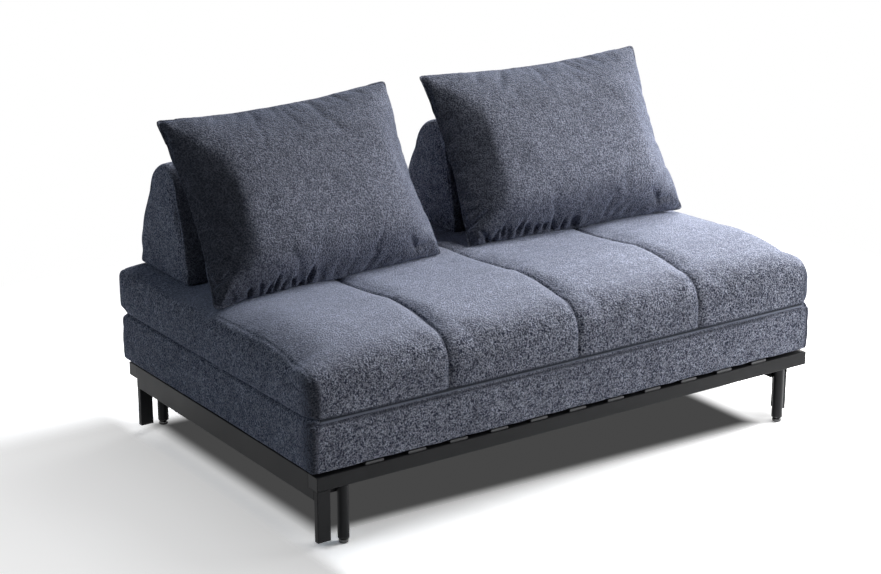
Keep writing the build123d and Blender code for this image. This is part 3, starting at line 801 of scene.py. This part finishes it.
def lower_section(x):
    """One section of the lower half, with the recess for the hinge cloth along its front."""
    inset = round_inset(from_end(x), 0.012, 0.009)
    front, rear = mattress_front + 0.0025 + inset, mattress_rear - 0.0025 - inset
    low, top = lower_bottom + inset * 0.7, lower_top - inset * 0.5
    ledge = lower_ledge + 0.0058 * max(0.0, 1 - abs(x / 0.74) ** 3) - inset * 0.5
    corner, small, recess = 0.0055, 0.005, 0.0062
    a = (front + corner * 0.3, low + corner * 0.3)
    b = (rear - corner * 0.3, low + corner * 0.3)
    c = (rear - small * 0.3, top - small * 0.3)
    d = (front + recess + 0.0012, top - 0.0003)
    bottom = side_points(a, [((front + corner, low), 2), ((rear - corner, low), 40), (b, 2)])
    rear_up = side_points(b, [((rear, low + corner), 2), (-0.003, (rear, top - small), 10), (c, 2)])
    over = side_points(c, [((rear - small, top), 2), ((front + recess + 0.008, top), 40), (d, 2)])
    down = side_points(d, [((front + recess, top - 0.0015), 1), ((front + recess, ledge + 0.001), 3),
                           ((front + 0.0015, ledge), 1), ((front, ledge - 0.002), 1),
                           (-0.003, (front, low + corner), 6), (a, 2)])
    return bottom, rear_up, over, down


def end_seams(piece, low, high, depth, seed):
    """The sewn edge round each end panel."""
    crease(piece, [low + 0.013, high - 0.013], depth, width=0.003, seed=seed)


class SOFABED_OT_mattress_lower(bpy.types.Operator):
    """Makes the lower mattress half"""

    bl_idname = "sofabed.mattress_lower"
    bl_label = "Lower Mattress Half"

    def execute(self, context):
        cloth = context.scene.upholstery_settings
        low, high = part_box("mattress_lower_cover")
        stations = station_list(mattress_low_x, mattress_high_x, section_step, radius=0.012)
        piece = lattice_piece("mattress_lower", stations, lower_section, bulge=0.001)
        z = points_of(piece)[:, 2]
        free = np.minimum(z - low.z, high.z - z) / 0.03
        pins = np.where((z < low.z + 0.012) | (z > high.z - 0.018), 1.0, np.clip(1 - free, 0.25, 1.0))
        swell(piece, pins, cloth.swell_cap * 0.7, pressure=3.0, slack=0.006)
        refine(piece)
        ripple(piece, height=0.0009, size=0.13, seed=1)
        end_seams(piece, low.x, high.x, depth=0.0022, seed=5)
        sag_between_slats(piece)
        pinch_between_halves(piece, high.z)
        fit_between(piece, low - Vector((0.004, 0.003, 0.0035)), high + Vector((0.004, 0.004, 0)))
        hold_front(piece, low.y)
        paint(piece, "chenille", "lining")
        paint_underside(piece, low.z + 0.004, 1)
        # Painted shade round the front corners and along the fold.
        paint_light_and_shade(piece, -front_painted_shade(points_of(piece), normals_of(piece),
                                     start=0.738, fold_height=0.3045))
        dress(piece, ["mattress_lower_cover", "mattress_lower_foam", "mattress_lower_base_cloth"],
              "rear_frame")
        return {"FINISHED"}


def fit_between(piece, low, high):
    """Keeps a piece within a box."""
    move_points(piece, np.clip(points_of(piece), np.array(low), np.array(high)))


def hold_back(values, limit, give, side):
    """Eases values off so that they never pass a limit; side is 1 for the most and -1 for the least."""
    past = (values - limit) * side + give
    eased = np.where(past > 0, give * np.tanh(np.maximum(past, 0) / give) - give, past - give)
    return limit + side * eased


def hold_front(piece, front):
    """Keeps a half behind the plane in which the two meet when the bed lies flat."""
    co = points_of(piece)
    co[:, 1] = hold_back(co[:, 1], front, give=0.003, side=-1)
    move_points(piece, co)


def paint_underside(piece, height, index):
    """Gives the faces below a height their own material."""
    for polygon in piece.data.polygons:
        if polygon.center.z < height and polygon.normal.z < -0.7:
            polygon.material_index = index


def seat_rise(x):
    """How much of the seat's crown stands at a place along the mattress."""
    places = (0, 0.03, 0.1, 0.2, 0.3, 0.45, 0.7)
    return float(np.interp(from_end(x) / 0.38, places, (0, 0.14, 0.42, 0.68, 0.86, 0.96, 1)))


def seat_puff(x):
    """How full the seat is at a place along it: nothing in a sewn channel, all between two."""
    away = min(abs(x - seam) for seam in seam_places) / 0.19
    full = 1 - (1 - min(away / 0.3, 1)) ** 3
    return full * min(1.0, 0.5 + from_end(x) / 0.16)


def upper_section(x):
    """One section of the upper half: flat below, crowned towards its front."""
    inset = round_inset(from_end(x), 0.014, 0.009)
    rise, puff = seat_rise(x), seat_puff(x)
    front = mattress_front + 0.0055 * (1 - puff) + round_inset(from_end(x), 0.027, 0.022)
    rear = mattress_rear + 0.003 - inset * 0.45
    low, edge = upper_bottom + inset * 0.4, upper_edge - inset
    top = edge + crown_rise * rise + 0.012 * puff
    seat = min(seat_height - inset - (1 - rise) * 0.012, edge + crown_rise * rise)
    dip = seat + (top - seat) * 0.35
    small, rear_round = 0.004, 0.013
    shoulder = (mattress_front + 0.088 + inset, top - 0.019)
    front_top = (front, edge - 0.05)
    turn = split(shoulder, bowed(shoulder, front_top, -0.021), front_top)
    a = (front + small * 0.3, low + small * 0.3)
    b = (rear - small * 0.3, low + small * 0.3)
    c = (rear - rear_round * 0.3, seat - rear_round * 0.3)
    d = tuple(turn[1])
    crown = (mattress_front + 0.25, top)
    valley = (mattress_rear - 0.45, dip)
    seat_front = (mattress_rear - 0.272, seat)
    bottom = side_points(a, [((front + small, low), 2), ((rear - small, low), 56), (b, 2)])
    rear_up = side_points(b, [((rear, low + small), 2), ((rear, seat - rear_round), 8),
                              (tip_middle((rear, seat - rear_round), c, (rear, seat - 0.006)), c, 2)])
    over = side_points(c, [((rear - rear_round, seat), 2), (seat_front, 15),
                           (-0.0027 * rise, valley, 11), (0.0035 * rise, crown, 15),
                           (-0.0048, shoulder, 12), (turn[0], d, 5)])
    down = side_points(d, [(turn[2], front_top, 5), ((front, low + small), 5), (a, 2)])
    return bottom, rear_up, over, down


class SOFABED_OT_mattress_upper(bpy.types.Operator):
    """Makes the upper mattress half with its sewn channels"""

    bl_idname = "sofabed.mattress_upper"
    bl_label = "Upper Mattress Half"

    def execute(self, context):
        cloth = context.scene.upholstery_settings
        low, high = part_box("mattress_upper_cover")
        offsets = (-0.02, -0.011, -0.0055, -0.002, 0, 0.002, 0.0055, 0.011, 0.02)
        stations = station_list(mattress_low_x, mattress_high_x, section_step, 0.02, seam_places, offsets)
        piece = lattice_piece("mattress_upper", stations, upper_section, bulge=0.006)
        x, y, z = points_of(piece).T
        seam_gap = np.min([np.abs(x - place) for place in seam_places], axis=0)
        under_backs = ramp(y, backs_start, backs_span) * (z > 0.42)
        pins = np.clip(np.maximum(1.0 - seam_gap * 40, under_backs), 0.15, 1.0)
        pins = np.where(z < low.z + 0.01, 1.0, pins)
        swell(piece, pins, cloth.swell_cap, pressure=3.5, slack=0.01)
        refine(piece)
        quiet = 1 - ramp(points_of(piece)[:, 1], backs_start, backs_span)
        ripple(piece, height=0.0013, size=0.15, seed=2, share=quiet)
        crease(piece, seam_places, cloth.seam_depth * 0.4, width=0.0032, seed=4, bottom=low.z)
        end_seams(piece, low.x, high.x, depth=0.0018, seed=6)
        pinch_between_halves(piece, low.z)
        fit_between(piece, low - Vector((0.008, 0.003, 0)), high + Vector((0.008, 0.005, 0.006)))
        hold_front(piece, low.y)
        co = points_of(piece)
        co[:, 2] = hold_back(co[:, 2], high.z - 0.0003, give=0.005, side=1)
        move_points(piece, co)
        co, normals = points_of(piece), normals_of(piece)
        # Painted light on the upward tops, less towards the back and more towards the left, and painted shade
        # round the front corners and along the fold.
        painted_top_light = smooth_step(normals[:, 2], 0.5, 0.96) * (1 - 0.7 * smooth_step(co[:, 1], 0.12, 0.3))
        painted_top_light *= 0.8 + 0.2 * smooth_step(-co[:, 0], -0.2, 0.5)
        paint_light_and_shade(piece, painted_top_light - front_painted_shade(co, normals, start=0.727, fold_height=low.z + 0.001))
        paint(piece, "chenille")
        dress(piece, [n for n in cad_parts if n.startswith("mattress_upper")],
              "mattress_top")
        return {"FINISHED"}


def sag_between_slats(piece):
    """Lets the front edge of the lower half hang a little between the slats that carry it."""
    slats = [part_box(name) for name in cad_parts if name.startswith("front_slat_")
             and not name.endswith("rivets")]
    co = points_of(piece)
    x, y, z = co.T
    gap = np.min([np.abs(x - (low.x + high.x) / 2) - (high.x - low.x) / 2 for low, high in slats], axis=0)
    near = ramp(-y, -mattress_front - 0.035, 0.02) * ramp(-z, -0.215, 0.02)
    z -= 0.0016 * near * smooth_step(gap, 0.0, 0.025)
    move_points(piece, co)


def pinch_between_halves(piece, height):
    """Draws the ends in where the two halves meet, most at their rear corners."""
    co = points_of(piece)
    x, y, z = co.T
    end, rear, front = ramp(np.abs(x), 0.735, 0.02), ramp(y, 0.44, 0.03), ramp(-y, 0.43, 0.03)
    thin, wide = (np.exp(-((z - height) / width) ** 2) for width in (0.0035, 0.0095))
    x -= np.sign(x) * end * (0.003 * thin + 0.011 * wide * rear + 0.007 * wide * front)
    y -= end * rear * wide * 0.011
    move_points(piece, co)


class SOFABED_OT_hinge_cloth(bpy.types.Operator):
    """Makes the cloth strip that hinges the two mattress halves"""

    bl_idname = "sofabed.hinge_cloth"
    bl_label = "Hinge Cloth"

    def execute(self, context):
        low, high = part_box("fabric_hinge_strip")
        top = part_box("mattress_upper_cover")[0].z + 0.001
        columns, rows = 300, 8
        wide = columns + 1
        vertices = []
        for y in (low.y + 0.0008, low.y + 0.002):
            for row in range(rows + 1):
                z = low.z + 0.0006 + (top - low.z) * row / rows
                belly = 0.0008 * (1 - abs(2 * row / rows - 1) ** 2.5)
                for column in range(wide):
                    x = low.x + (high.x - low.x) * column / columns
                    wave = 0.0006 * noise.noise(Vector((x * 30, z * 60, 0))) if 0 < row < rows else 0
                    vertices.append((x, y + wave - belly, z))
        sheet = (rows + 1) * wide
        faces = grid_faces(lambda row, column: row * wide + column, columns, rows)
        faces += grid_faces(lambda row, column: sheet + row * wide + column, columns, rows, flip=True)
        edge = list(range(wide)) + [row * wide + columns for row in range(1, rows + 1)]
        edge += [rows * wide + column for column in range(columns - 1, -1, -1)]
        edge += [row * wide for row in range(rows - 1, 0, -1)]
        for a, b in zip(edge, edge[1:] + edge[:1]):
            faces.append((b, a, a + sheet, b + sheet))
        piece = mesh_piece("hinge_cloth", vertices, faces)
        height = (points_of(piece)[:, 2] - low.z) / (top - low.z)
        # Painted shade over the upper part of the strip and along its bottom.
        paint_light_and_shade(piece, -np.maximum(smooth_step(height, 0.5, 0.62), smooth_step(-height, -0.2, -0.1)))
        paint(piece, "strip")
        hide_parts("fabric_hinge_strip")
        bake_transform(piece)
        return {"FINISHED"}


backrest_width, backrest_front, backrest_rear = 0.595, 0.213, 0.473
backrest_bottom, backrest_shoulder, backrest_top = 0.4433, 0.6481, 0.7351
backrest_lefts = {"left": -0.7, "right": 0.105}


def backrest_section(left, x):
    """One section of a backrest: wide at its foot and round at its top."""
    place = from_end(x, left, left + backrest_width)
    inset = round_inset(place, 0.016, 0.011) - 0.0015 * min(1.0, place / 0.15)
    rear, front = backrest_rear - inset, backrest_front + inset
    low = backrest_bottom + max(0.0, inset) * 0.3
    foot, shoulder, top = low + 0.006, backrest_shoulder - inset, backrest_top - inset
    rear_shoulder, front_shoulder = (rear - 0.065, shoulder), (front + 0.044, shoulder)
    crest = ((rear_shoulder[0] + front_shoulder[0]) / 2 - 0.022, top)
    a, b = (front + 0.0018, low + 0.0018), (rear - 0.0018, low + 0.0018)
    rear_foot, front_foot = (rear, foot), (front, foot)
    bottom = side_points(a, [((front + 0.006, low), 2), ((rear - 0.006, low), 18), (b, 2)])
    rear_up = side_points(b, [(rear_foot, 2), (-0.011, rear_shoulder, 14)])
    over = side_points(rear_shoulder, [(-0.021, crest, 11), (-0.021, front_shoulder, 11)])
    down = side_points(front_shoulder, [(-0.011, front_foot, 14), (a, 2)])
    return bottom, rear_up, over, down


class SOFABED_OT_backrests(bpy.types.Operator):
    """Makes the two backrest bolsters"""

    bl_idname = "sofabed.backrests"
    bl_label = "Backrests"

    def execute(self, context):
        cloth = context.scene.upholstery_settings
        for side, seed in (("left", 11), ("right", 12)):
            left = backrest_lefts[side]
            stations = station_list(left, left + backrest_width, step=0.0145, radius=0.016)
            piece = lattice_piece(f"backrest_{side}", stations, partial(backrest_section, left), bulge=0.004)
            low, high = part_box(f"backrest_{side}_cover")
            pins = np.where(points_of(piece)[:, 2] < low.z + 0.012, 1.0, 0.25)
            swell(piece, pins, cloth.swell_cap, pressure=3.0, slack=0.012)
            refine(piece)
            raised = ramp(points_of(piece)[:, 2] - low.z, 0.01, 0.03)
            ripple(piece, height=0.0015, size=0.1, seed=seed, share=raised)
            crease(piece, [low.x + 0.014, high.x - 0.014], depth=0.0015, width=0.003, seed=seed)
            fit_between(piece, low - Vector((0.006, 0.006, 0)), high + Vector((0.006, 0.0015, 0.006)))
            paint(piece, "chenille", "lining")
            paint_underside(piece, low.z + 0.005, 1)
            # Painted shade on the faces turned to the front, in the gap behind the cushions.
            paint_light_and_shade(piece, -0.9 * smooth_step(-normals_of(piece)[:, 1], 0.3, 0.7))
            dress(piece, [f"backrest_{side}_cover", f"backrest_{side}_foam", f"backrest_{side}_base_board"],
                  f"backrest_{side}")
        return {"FINISHED"}


cushion_shapes = {
    # middle of the lower seam, tilt back, turn and roll in degrees, the back half's depth, where the
    # gathers start and end, and their seed
    "left": ((-0.4025, 0.012, 0.4545), (29.5, 3.7, 0.3), 0.095, (-0.255, -0.06), 21),
    "right": ((0.377, 0.0244, 0.4584), (31.0, -3.7, 0.6), 0.078, (-0.29, 0.0), 22),
}
cushion_width, cushion_height, cushion_front = 0.696, 0.484, 0.092
side_draw, top_draw, base_draw = 0.022, 0.018, 0.005
corner_radius, flange, seat_gap = 0.017, 0.0045, 0.0015


def cushion_point(a, b, depth, fullness):
    """A point of one cushion panel; a and b run from -1 to 1 across and up the panel."""
    x, y = a * cushion_width / 2, b * cushion_height / 2
    to_side, to_end = cushion_width / 2 - abs(x), cushion_height / 2 - abs(y)
    soft = 0.0
    if min(to_side, to_end) > flange:
        across, up = to_side - flange, (to_end - flange) * (1.45 if b < 0 else 1.0)
        soft = across * up / (across ** 4 + up ** 4) ** 0.25
    into_x, into_y = corner_radius - to_side, corner_radius - to_end
    if into_x > 0 and into_y > 0:
        turn = max(into_x, into_y) / math.hypot(into_x, into_y)
        x = math.copysign(cushion_width / 2 - corner_radius + into_x * turn, x)
        y = math.copysign(cushion_height / 2 - corner_radius + into_y * turn, y)
    x -= math.copysign(side_draw * (1 - b * b), x) * abs(a)
    y -= top_draw * (1 - a * a) * max(b, 0) - base_draw * (1 - a * a) * max(-b, 0)
    crown = (1 - (1 - min(1.0, soft / 0.205)) ** 2) ** fullness
    if depth > 0:
        slope = 0.13 * (1 - math.exp(-soft / 0.004)) + 7.2 * soft
        plateau = 0.87 + 0.13 * min(1.0, (soft - 0.1) / 0.1)
        crown = -0.05 * math.log(math.exp(-slope / 0.05) + math.exp(-plateau / 0.05))
    return x, y, depth * max(0.0, crown) * (1 - 0.1 * b) + math.copysign(0.0014, depth)


def eased(share):
    """Spreads shares from -1 to 1 so that they lie closer together at both ends."""
    return math.sin(share * math.pi / 2 * 0.8) / math.sin(math.pi / 2 * 0.8)


def cushion_mesh(name, back_depth, columns=112, rows=80):
    """A closed cushion of two panels joined along a knife edge, all in quads, and the points of its edge."""
    vertices, index = [], {}
    for panel, depth, full in ((1, cushion_front * 0.97, 0.7), (-1, -back_depth * 0.95, 0.8)):
        for row in range(rows + 1):
            for column in range(columns + 1):
                edge = row in (0, rows) or column in (0, columns)
                if edge and panel == -1:
                    index[panel, row, column] = index[1, row, column]
                    continue
                index[panel, row, column] = len(vertices)
                a, b = eased(2 * column / columns - 1), eased(2 * row / rows - 1)
                x, y, z = cushion_point(a, b, depth, full)
                vertices.append((x, y, 0 if edge else z))
    faces = grid_faces(lambda row, column: index[1, row, column], columns, rows)
    faces += grid_faces(lambda row, column: index[-1, row, column], columns, rows, flip=True)
    seam = [place for (panel, row, column), place in index.items()
            if panel == 1 and (row in (0, rows) or column in (0, columns))]
    return mesh_piece(name, vertices, faces), seam


def gathers(seed, first, last):
    """The short slanting folds over a cushion's lower seam, as lines of (start, end, depth, width)."""
    spread = random.Random(seed)
    folds, place = [], first
    while place < last:
        length = spread.uniform(0.012, 0.034)
        start = (place, -cushion_height / 2 + spread.uniform(0.006, 0.016))
        end = (place + length * spread.uniform(-0.9, 0.5), start[1] + length)
        folds.append((start, end, spread.uniform(0.006, 0.014), spread.uniform(0.004, 0.0085)))
        place += spread.uniform(0.016, 0.038)
    side, base = cushion_width / 2, -cushion_height / 2
    for along, rise, depth in ((0.055, 0.03, 0.008), (0.085, 0.02, 0.004)):
        start = (0.012 - side, base + along)
        folds.append((start, (start[0] + 0.06, start[1] + rise), depth, 0.006))
    corner = (side - 0.1, base + 0.03)
    return folds + [(corner, (side - 0.13, base + 0.062), 0.01, 0.009),
                    (corner, (side - 0.045, base + 0.036), 0.007, 0.008)]


def press_folds(piece, folds):
    """Presses folds into the front panel of a cushion, deepest where each starts."""
    co = points_of(piece)
    wander = 0.0016 * noise_at(co, 60, 3)
    pull = np.zeros(len(co))
    for start, end, depth, width in folds:
        line = np.array(end) - np.array(start)
        offset = co[:, :2] - np.array(start)
        along = np.clip(offset @ line / (line @ line), 0, 1)
        away = np.linalg.norm(offset - along[:, None] * line, axis=1) + wander
        pull = np.maximum(pull, depth * np.exp(-(away / width) ** 2) * (1 - along ** 1.6))
    pull *= co[:, 2] > 0.002
    move_points(piece, co - normals_of(piece) * pull[:, None])


class SOFABED_OT_cushions(bpy.types.Operator):
    """Makes the two loose cushions, sewn from a front and a back panel"""

    bl_idname = "sofabed.cushions"
    bl_label = "Cushions"

    def execute(self, context):
        cloth = context.scene.upholstery_settings
        seat = surface_of(bpy.data.objects["mattress_upper"])
        for side, (base, (tilt, turn, roll), back_depth, gathered, seed) in cushion_shapes.items():
            piece, seam = cushion_mesh(f"cushion_{side}", back_depth)
            pins = np.full(len(piece.data.vertices), 0.1)
            pins[seam] = 1.0
            swell(piece, pins, cloth.cushion_cap, pressure=5.0, slack=0.02)
            refine(piece)
            ripple(piece, height=0.0022, size=0.09, seed=seed)
            press_folds(piece, gathers(seed, *gathered))
            # Painted shade: a little all over, and more on faces turned to the left, along the lower seam, on
            # faces turned towards the top edge and over the upper half.
            up, normals = points_of(piece)[:, 1], normals_of(piece)
            painted_shade = (0.24 + 0.75 * smooth_step(-normals[:, 0], 0.22, 0.6)
                       + 0.4 * smooth_step(-up, cushion_height / 2 - 0.075, cushion_height / 2 - 0.02)
                       + 0.38 * smooth_step(normals[:, 1], 0.3, 0.75) + 0.34 * smooth_step(up, -0.1, 0.15))
            paint_light_and_shade(piece, -np.clip(painted_shade, 0, 0.95))
            matrix = (Matrix.Translation(base) @ Matrix.Rotation(math.radians(turn), 4, "Z")
                      @ Matrix.Rotation(math.radians(90 - tilt), 4, "X")
                      @ Matrix.Rotation(math.radians(roll), 4, "Z")
                      @ Matrix.Translation((0, cushion_height / 2, 0)))
            piece.data.transform(matrix)
            co = points_of(piece)
            for i in np.nonzero(co[:, 2] < 0.5)[0]:
                hit = drop(seat, co[i, 0], co[i, 1])[0]
                if hit is not None:
                    co[i, 2] = max(co[i, 2], hit.z + seat_gap)
            move_points(piece, co)
            paint(piece, "chenille")
            dress(piece, [f"cushion_{side}_front_panel", f"cushion_{side}_back_panel",
                          f"cushion_{side}_filling"], f"cushion_{side}")
        return {"FINISHED"}


def stitch_tree(name):
    """A node tree that sets a row of stitches along each line of a mesh."""
    tree = bpy.data.node_groups.new(name, "GeometryNodeTree")
    for label, kind in (("Geometry", "Geometry"), ("Pitch", "Float"), ("Length", "Float"),
                        ("Thickness", "Float"), ("Thread", "Material")):
        tree.interface.new_socket(label, in_out="INPUT", socket_type=f"NodeSocket{kind}")
    tree.interface.new_socket("Geometry", in_out="OUTPUT", socket_type="NodeSocketGeometry")
    add = partial(output_of, tree)
    given = add_node(tree, "NodeGroupInput").outputs
    curve = add("GeometryNodeMeshToCurve", {"Mesh": given["Geometry"]})
    even = add("GeometryNodeResampleCurve", {"Curve": curve, "Length": given["Pitch"]}, mode="LENGTH")
    turn = add("FunctionNodeAlignRotationToVector", {"Vector": add("GeometryNodeInputTangent")}, axis="X")
    bead = add("GeometryNodeMeshUVSphere", {"Segments": 6, "Rings": 5, "Radius": 0.5})
    thick = given["Thickness"]
    size = add("ShaderNodeCombineXYZ", {"X": given["Length"], "Y": thick, "Z": thick})
    stitch = add("GeometryNodeTransform", {"Geometry": bead, "Scale": size})
    rows = add("GeometryNodeInstanceOnPoints", {"Points": even, "Instance": stitch, "Rotation": turn})
    smooth = add("GeometryNodeSetShadeSmooth", {"Geometry": add("GeometryNodeRealizeInstances", {0: rows})})
    painted = add("GeometryNodeSetMaterial", {"Geometry": smooth, "Material": given["Thread"]})
    add_node(tree, "NodeGroupOutput", {"Geometry": painted})
    arrange(tree)
    return tree


def stitched(name, lines, tree, settings):
    """One mesh of stitches along several lines of points."""
    vertices, edges = [], []
    for line in lines:
        first = len(vertices)
        vertices += [tuple(p) for p in line]
        edges += [(first + i, first + i + 1) for i in range(len(line) - 1)]
    mesh = bpy.data.meshes.new(name)
    mesh.from_pydata(vertices, edges, [])
    piece = new_object(name, mesh)
    rows = piece.modifiers.new("rows", "NODES")
    rows.node_group = tree
    sockets = {item.name: item.identifier for item in tree.interface.items_tree
               if item.item_type == "SOCKET" and item.in_out == "INPUT"}
    rows[sockets["Pitch"]] = settings.pitch
    rows[sockets["Length"]] = settings.length
    rows[sockets["Thickness"]] = settings.thickness
    rows[sockets["Thread"]] = materials["thread"]
    return settled(piece)


class SOFABED_OT_stitching(bpy.types.Operator):
    """Sews the rows of stitches along the channels and the hinge cloth"""

    bl_idname = "sofabed.stitching"
    bl_label = "Stitching"

    def execute(self, context):
        settings = context.scene.stitch_settings
        tree = stitch_tree("stitch_rows")
        low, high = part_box("fabric_hinge_strip")
        line = [(low.x + 0.004 + (high.x - low.x - 0.008) * i / 200, low.y - 0.0006, low.z + 0.0032)
                for i in range(201)]
        strip = stitched("hinge_cloth_stitches", [line], tree, settings)
        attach(strip, "rear_frame")
        seat = surface_of(bpy.data.objects["mattress_upper"])
        low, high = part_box("mattress_upper_cover")
        lines = []
        for place in seam_places:
            for offset in (-0.0065, 0.0065):
                path = []
                for i in range(130):
                    y = low.y + 0.02 + (high.y - low.y - 0.04) * i / 129
                    hit, normal = drop(seat, place + offset, y)
                    if hit is not None:
                        path.append(hit + normal * 0.0001)
                lines.append(path)
        channels = stitched("channel_stitches", lines, tree, settings)
        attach(channels, "mattress_top")
        return {"FINISHED"}


lamps = {
    # each lamp's place, size and colour
    "right": ((3.6, -0.6, 1.7), 1.2, (1, 1, 1)),
    "high": ((0.7, 0.0, 2.1), 0.9, (1, 1, 1)),
    "end": ((2.2, 1.2, 1.4), 0.9, (1, 1, 1)),
    "back": ((1.2, 1.6, 2.0), 1.0, (1, 1, 1)),
    "front": ((2.3, -1.5, 1.35), 1.0, (1, 1, 1)),
    "left": ((-2.4, -0.4, 1.6), 1.2, (0.74, 0.86, 1)),
}
lamp_target = (0.1, -0.1, 0.35)
camera_place, camera_view = (-3.1169, -4.4366, 2.1522), (0.5358154, 0.784495, -0.3122011)
floor_reach = 14.0
# Left and right ends and half the depth of the floor's painted shadow beneath the object.
shade_left, shade_right, shade_half_depth = -0.73, 0.655, 0.455


def aimed(thing, place, direction):
    """Puts a lamp or camera at a place, looking in a direction."""
    thing.location = place
    thing.rotation_euler = direction.to_track_quat("-Z", "Y").to_euler()


class SOFABED_OT_stage(bpy.types.Operator):
    """Sets up the floor, the lamps, the world and the camera"""

    bl_idname = "sofabed.stage"
    bl_label = "Stage"

    def execute(self, context):
        scene = context.scene
        settings = scene.stage_settings
        corners = [(floor_reach * x, floor_reach * y, 0) for x, y in ((-1, -1), (1, -1), (1, 1), (-1, 1))]
        floor = mesh_piece("studio_floor", corners, [(0, 1, 2, 3)], smooth=False)
        floor.data.materials.append(floor_material("white_floor", shade_left, shade_right, shade_half_depth))
        for name, (place, size, color) in lamps.items():
            light = bpy.data.lights.new(f"{name}_lamp", "AREA")
            light.size = size
            light.energy = getattr(settings, f"{name}_power")
            light.color = color
            lamp = new_object(f"{name}_lamp", light)
            lamp.visible_camera = False
            aimed(lamp, place, Vector(lamp_target) - Vector(place))
        world = bpy.data.worlds.new("studio_world")
        world.use_nodes = True
        scene.world = world
        tree = world.node_tree
        tree.nodes.clear()
        strength = map_range(tree, seen_rays(tree), 0.0, 1.0, settings.ambient, 1.0)
        sky = output_of(tree, "ShaderNodeBackground", {"Color": grey(1), "Strength": strength})
        show(tree, sky, "ShaderNodeOutputWorld")
        data = bpy.data.cameras.new("photo_camera")
        data.sensor_fit = "HORIZONTAL"
        data.sensor_width = 36
        data.lens = settings.focal_length
        data.clip_end = 100
        scene.camera = new_object("photo_camera", data)
        aimed(scene.camera, camera_place, Vector(camera_view))
        scene.view_settings.view_transform = "Standard"
        return {"FINISHED"}


class SOFABED_PT_panel(bpy.types.Panel):
    """Lists the steps that dress the sofa bed"""

    bl_idname = "SOFABED_PT_panel"
    bl_label = "Sofa Bed"
    bl_space_type = "VIEW_3D"
    bl_region_type = "UI"
    bl_category = "Sofa Bed"

    def draw(self, context):
        for name, kind in settings_groups.items():
            for setting in kind.__annotations__:
                self.layout.prop(getattr(context.scene, name), setting)
        for operator in piece_operators:
            self.layout.operator(operator.bl_idname)


settings_groups = {
    "upholstery_settings": UpholsterySettings, "steel_settings": SteelSettings,
    "stitch_settings": StitchSettings, "stage_settings": StageSettings,
}
piece_operators = (
    SOFABED_OT_steel_finish, SOFABED_OT_levelling_feet, SOFABED_OT_mattress_lower,
    SOFABED_OT_mattress_upper, SOFABED_OT_hinge_cloth, SOFABED_OT_backrests, SOFABED_OT_cushions,
    SOFABED_OT_stitching, SOFABED_OT_stage,
)
classes = (*settings_groups.values(), *piece_operators, SOFABED_PT_panel)


def register():
    for item in classes:
        bpy.utils.register_class(item)
    for name, kind in settings_groups.items():
        setattr(bpy.types.Scene, name, bpy.props.PointerProperty(type=kind))


def unregister():
    for name in settings_groups:
        delattr(bpy.types.Scene, name)
    for item in reversed(classes):
        bpy.utils.unregister_class(item)


def main():
    """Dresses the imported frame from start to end."""
    register()
    bpy.ops.sofabed.steel_finish()
    bpy.ops.sofabed.levelling_feet()
    bpy.ops.sofabed.mattress_lower()
    bpy.ops.sofabed.mattress_upper()
    bpy.ops.sofabed.hinge_cloth()
    bpy.ops.sofabed.backrests()
    bpy.ops.sofabed.cushions()
    bpy.ops.sofabed.stitching()
    bpy.ops.sofabed.stage()


if __name__ == "__main__":
    main()
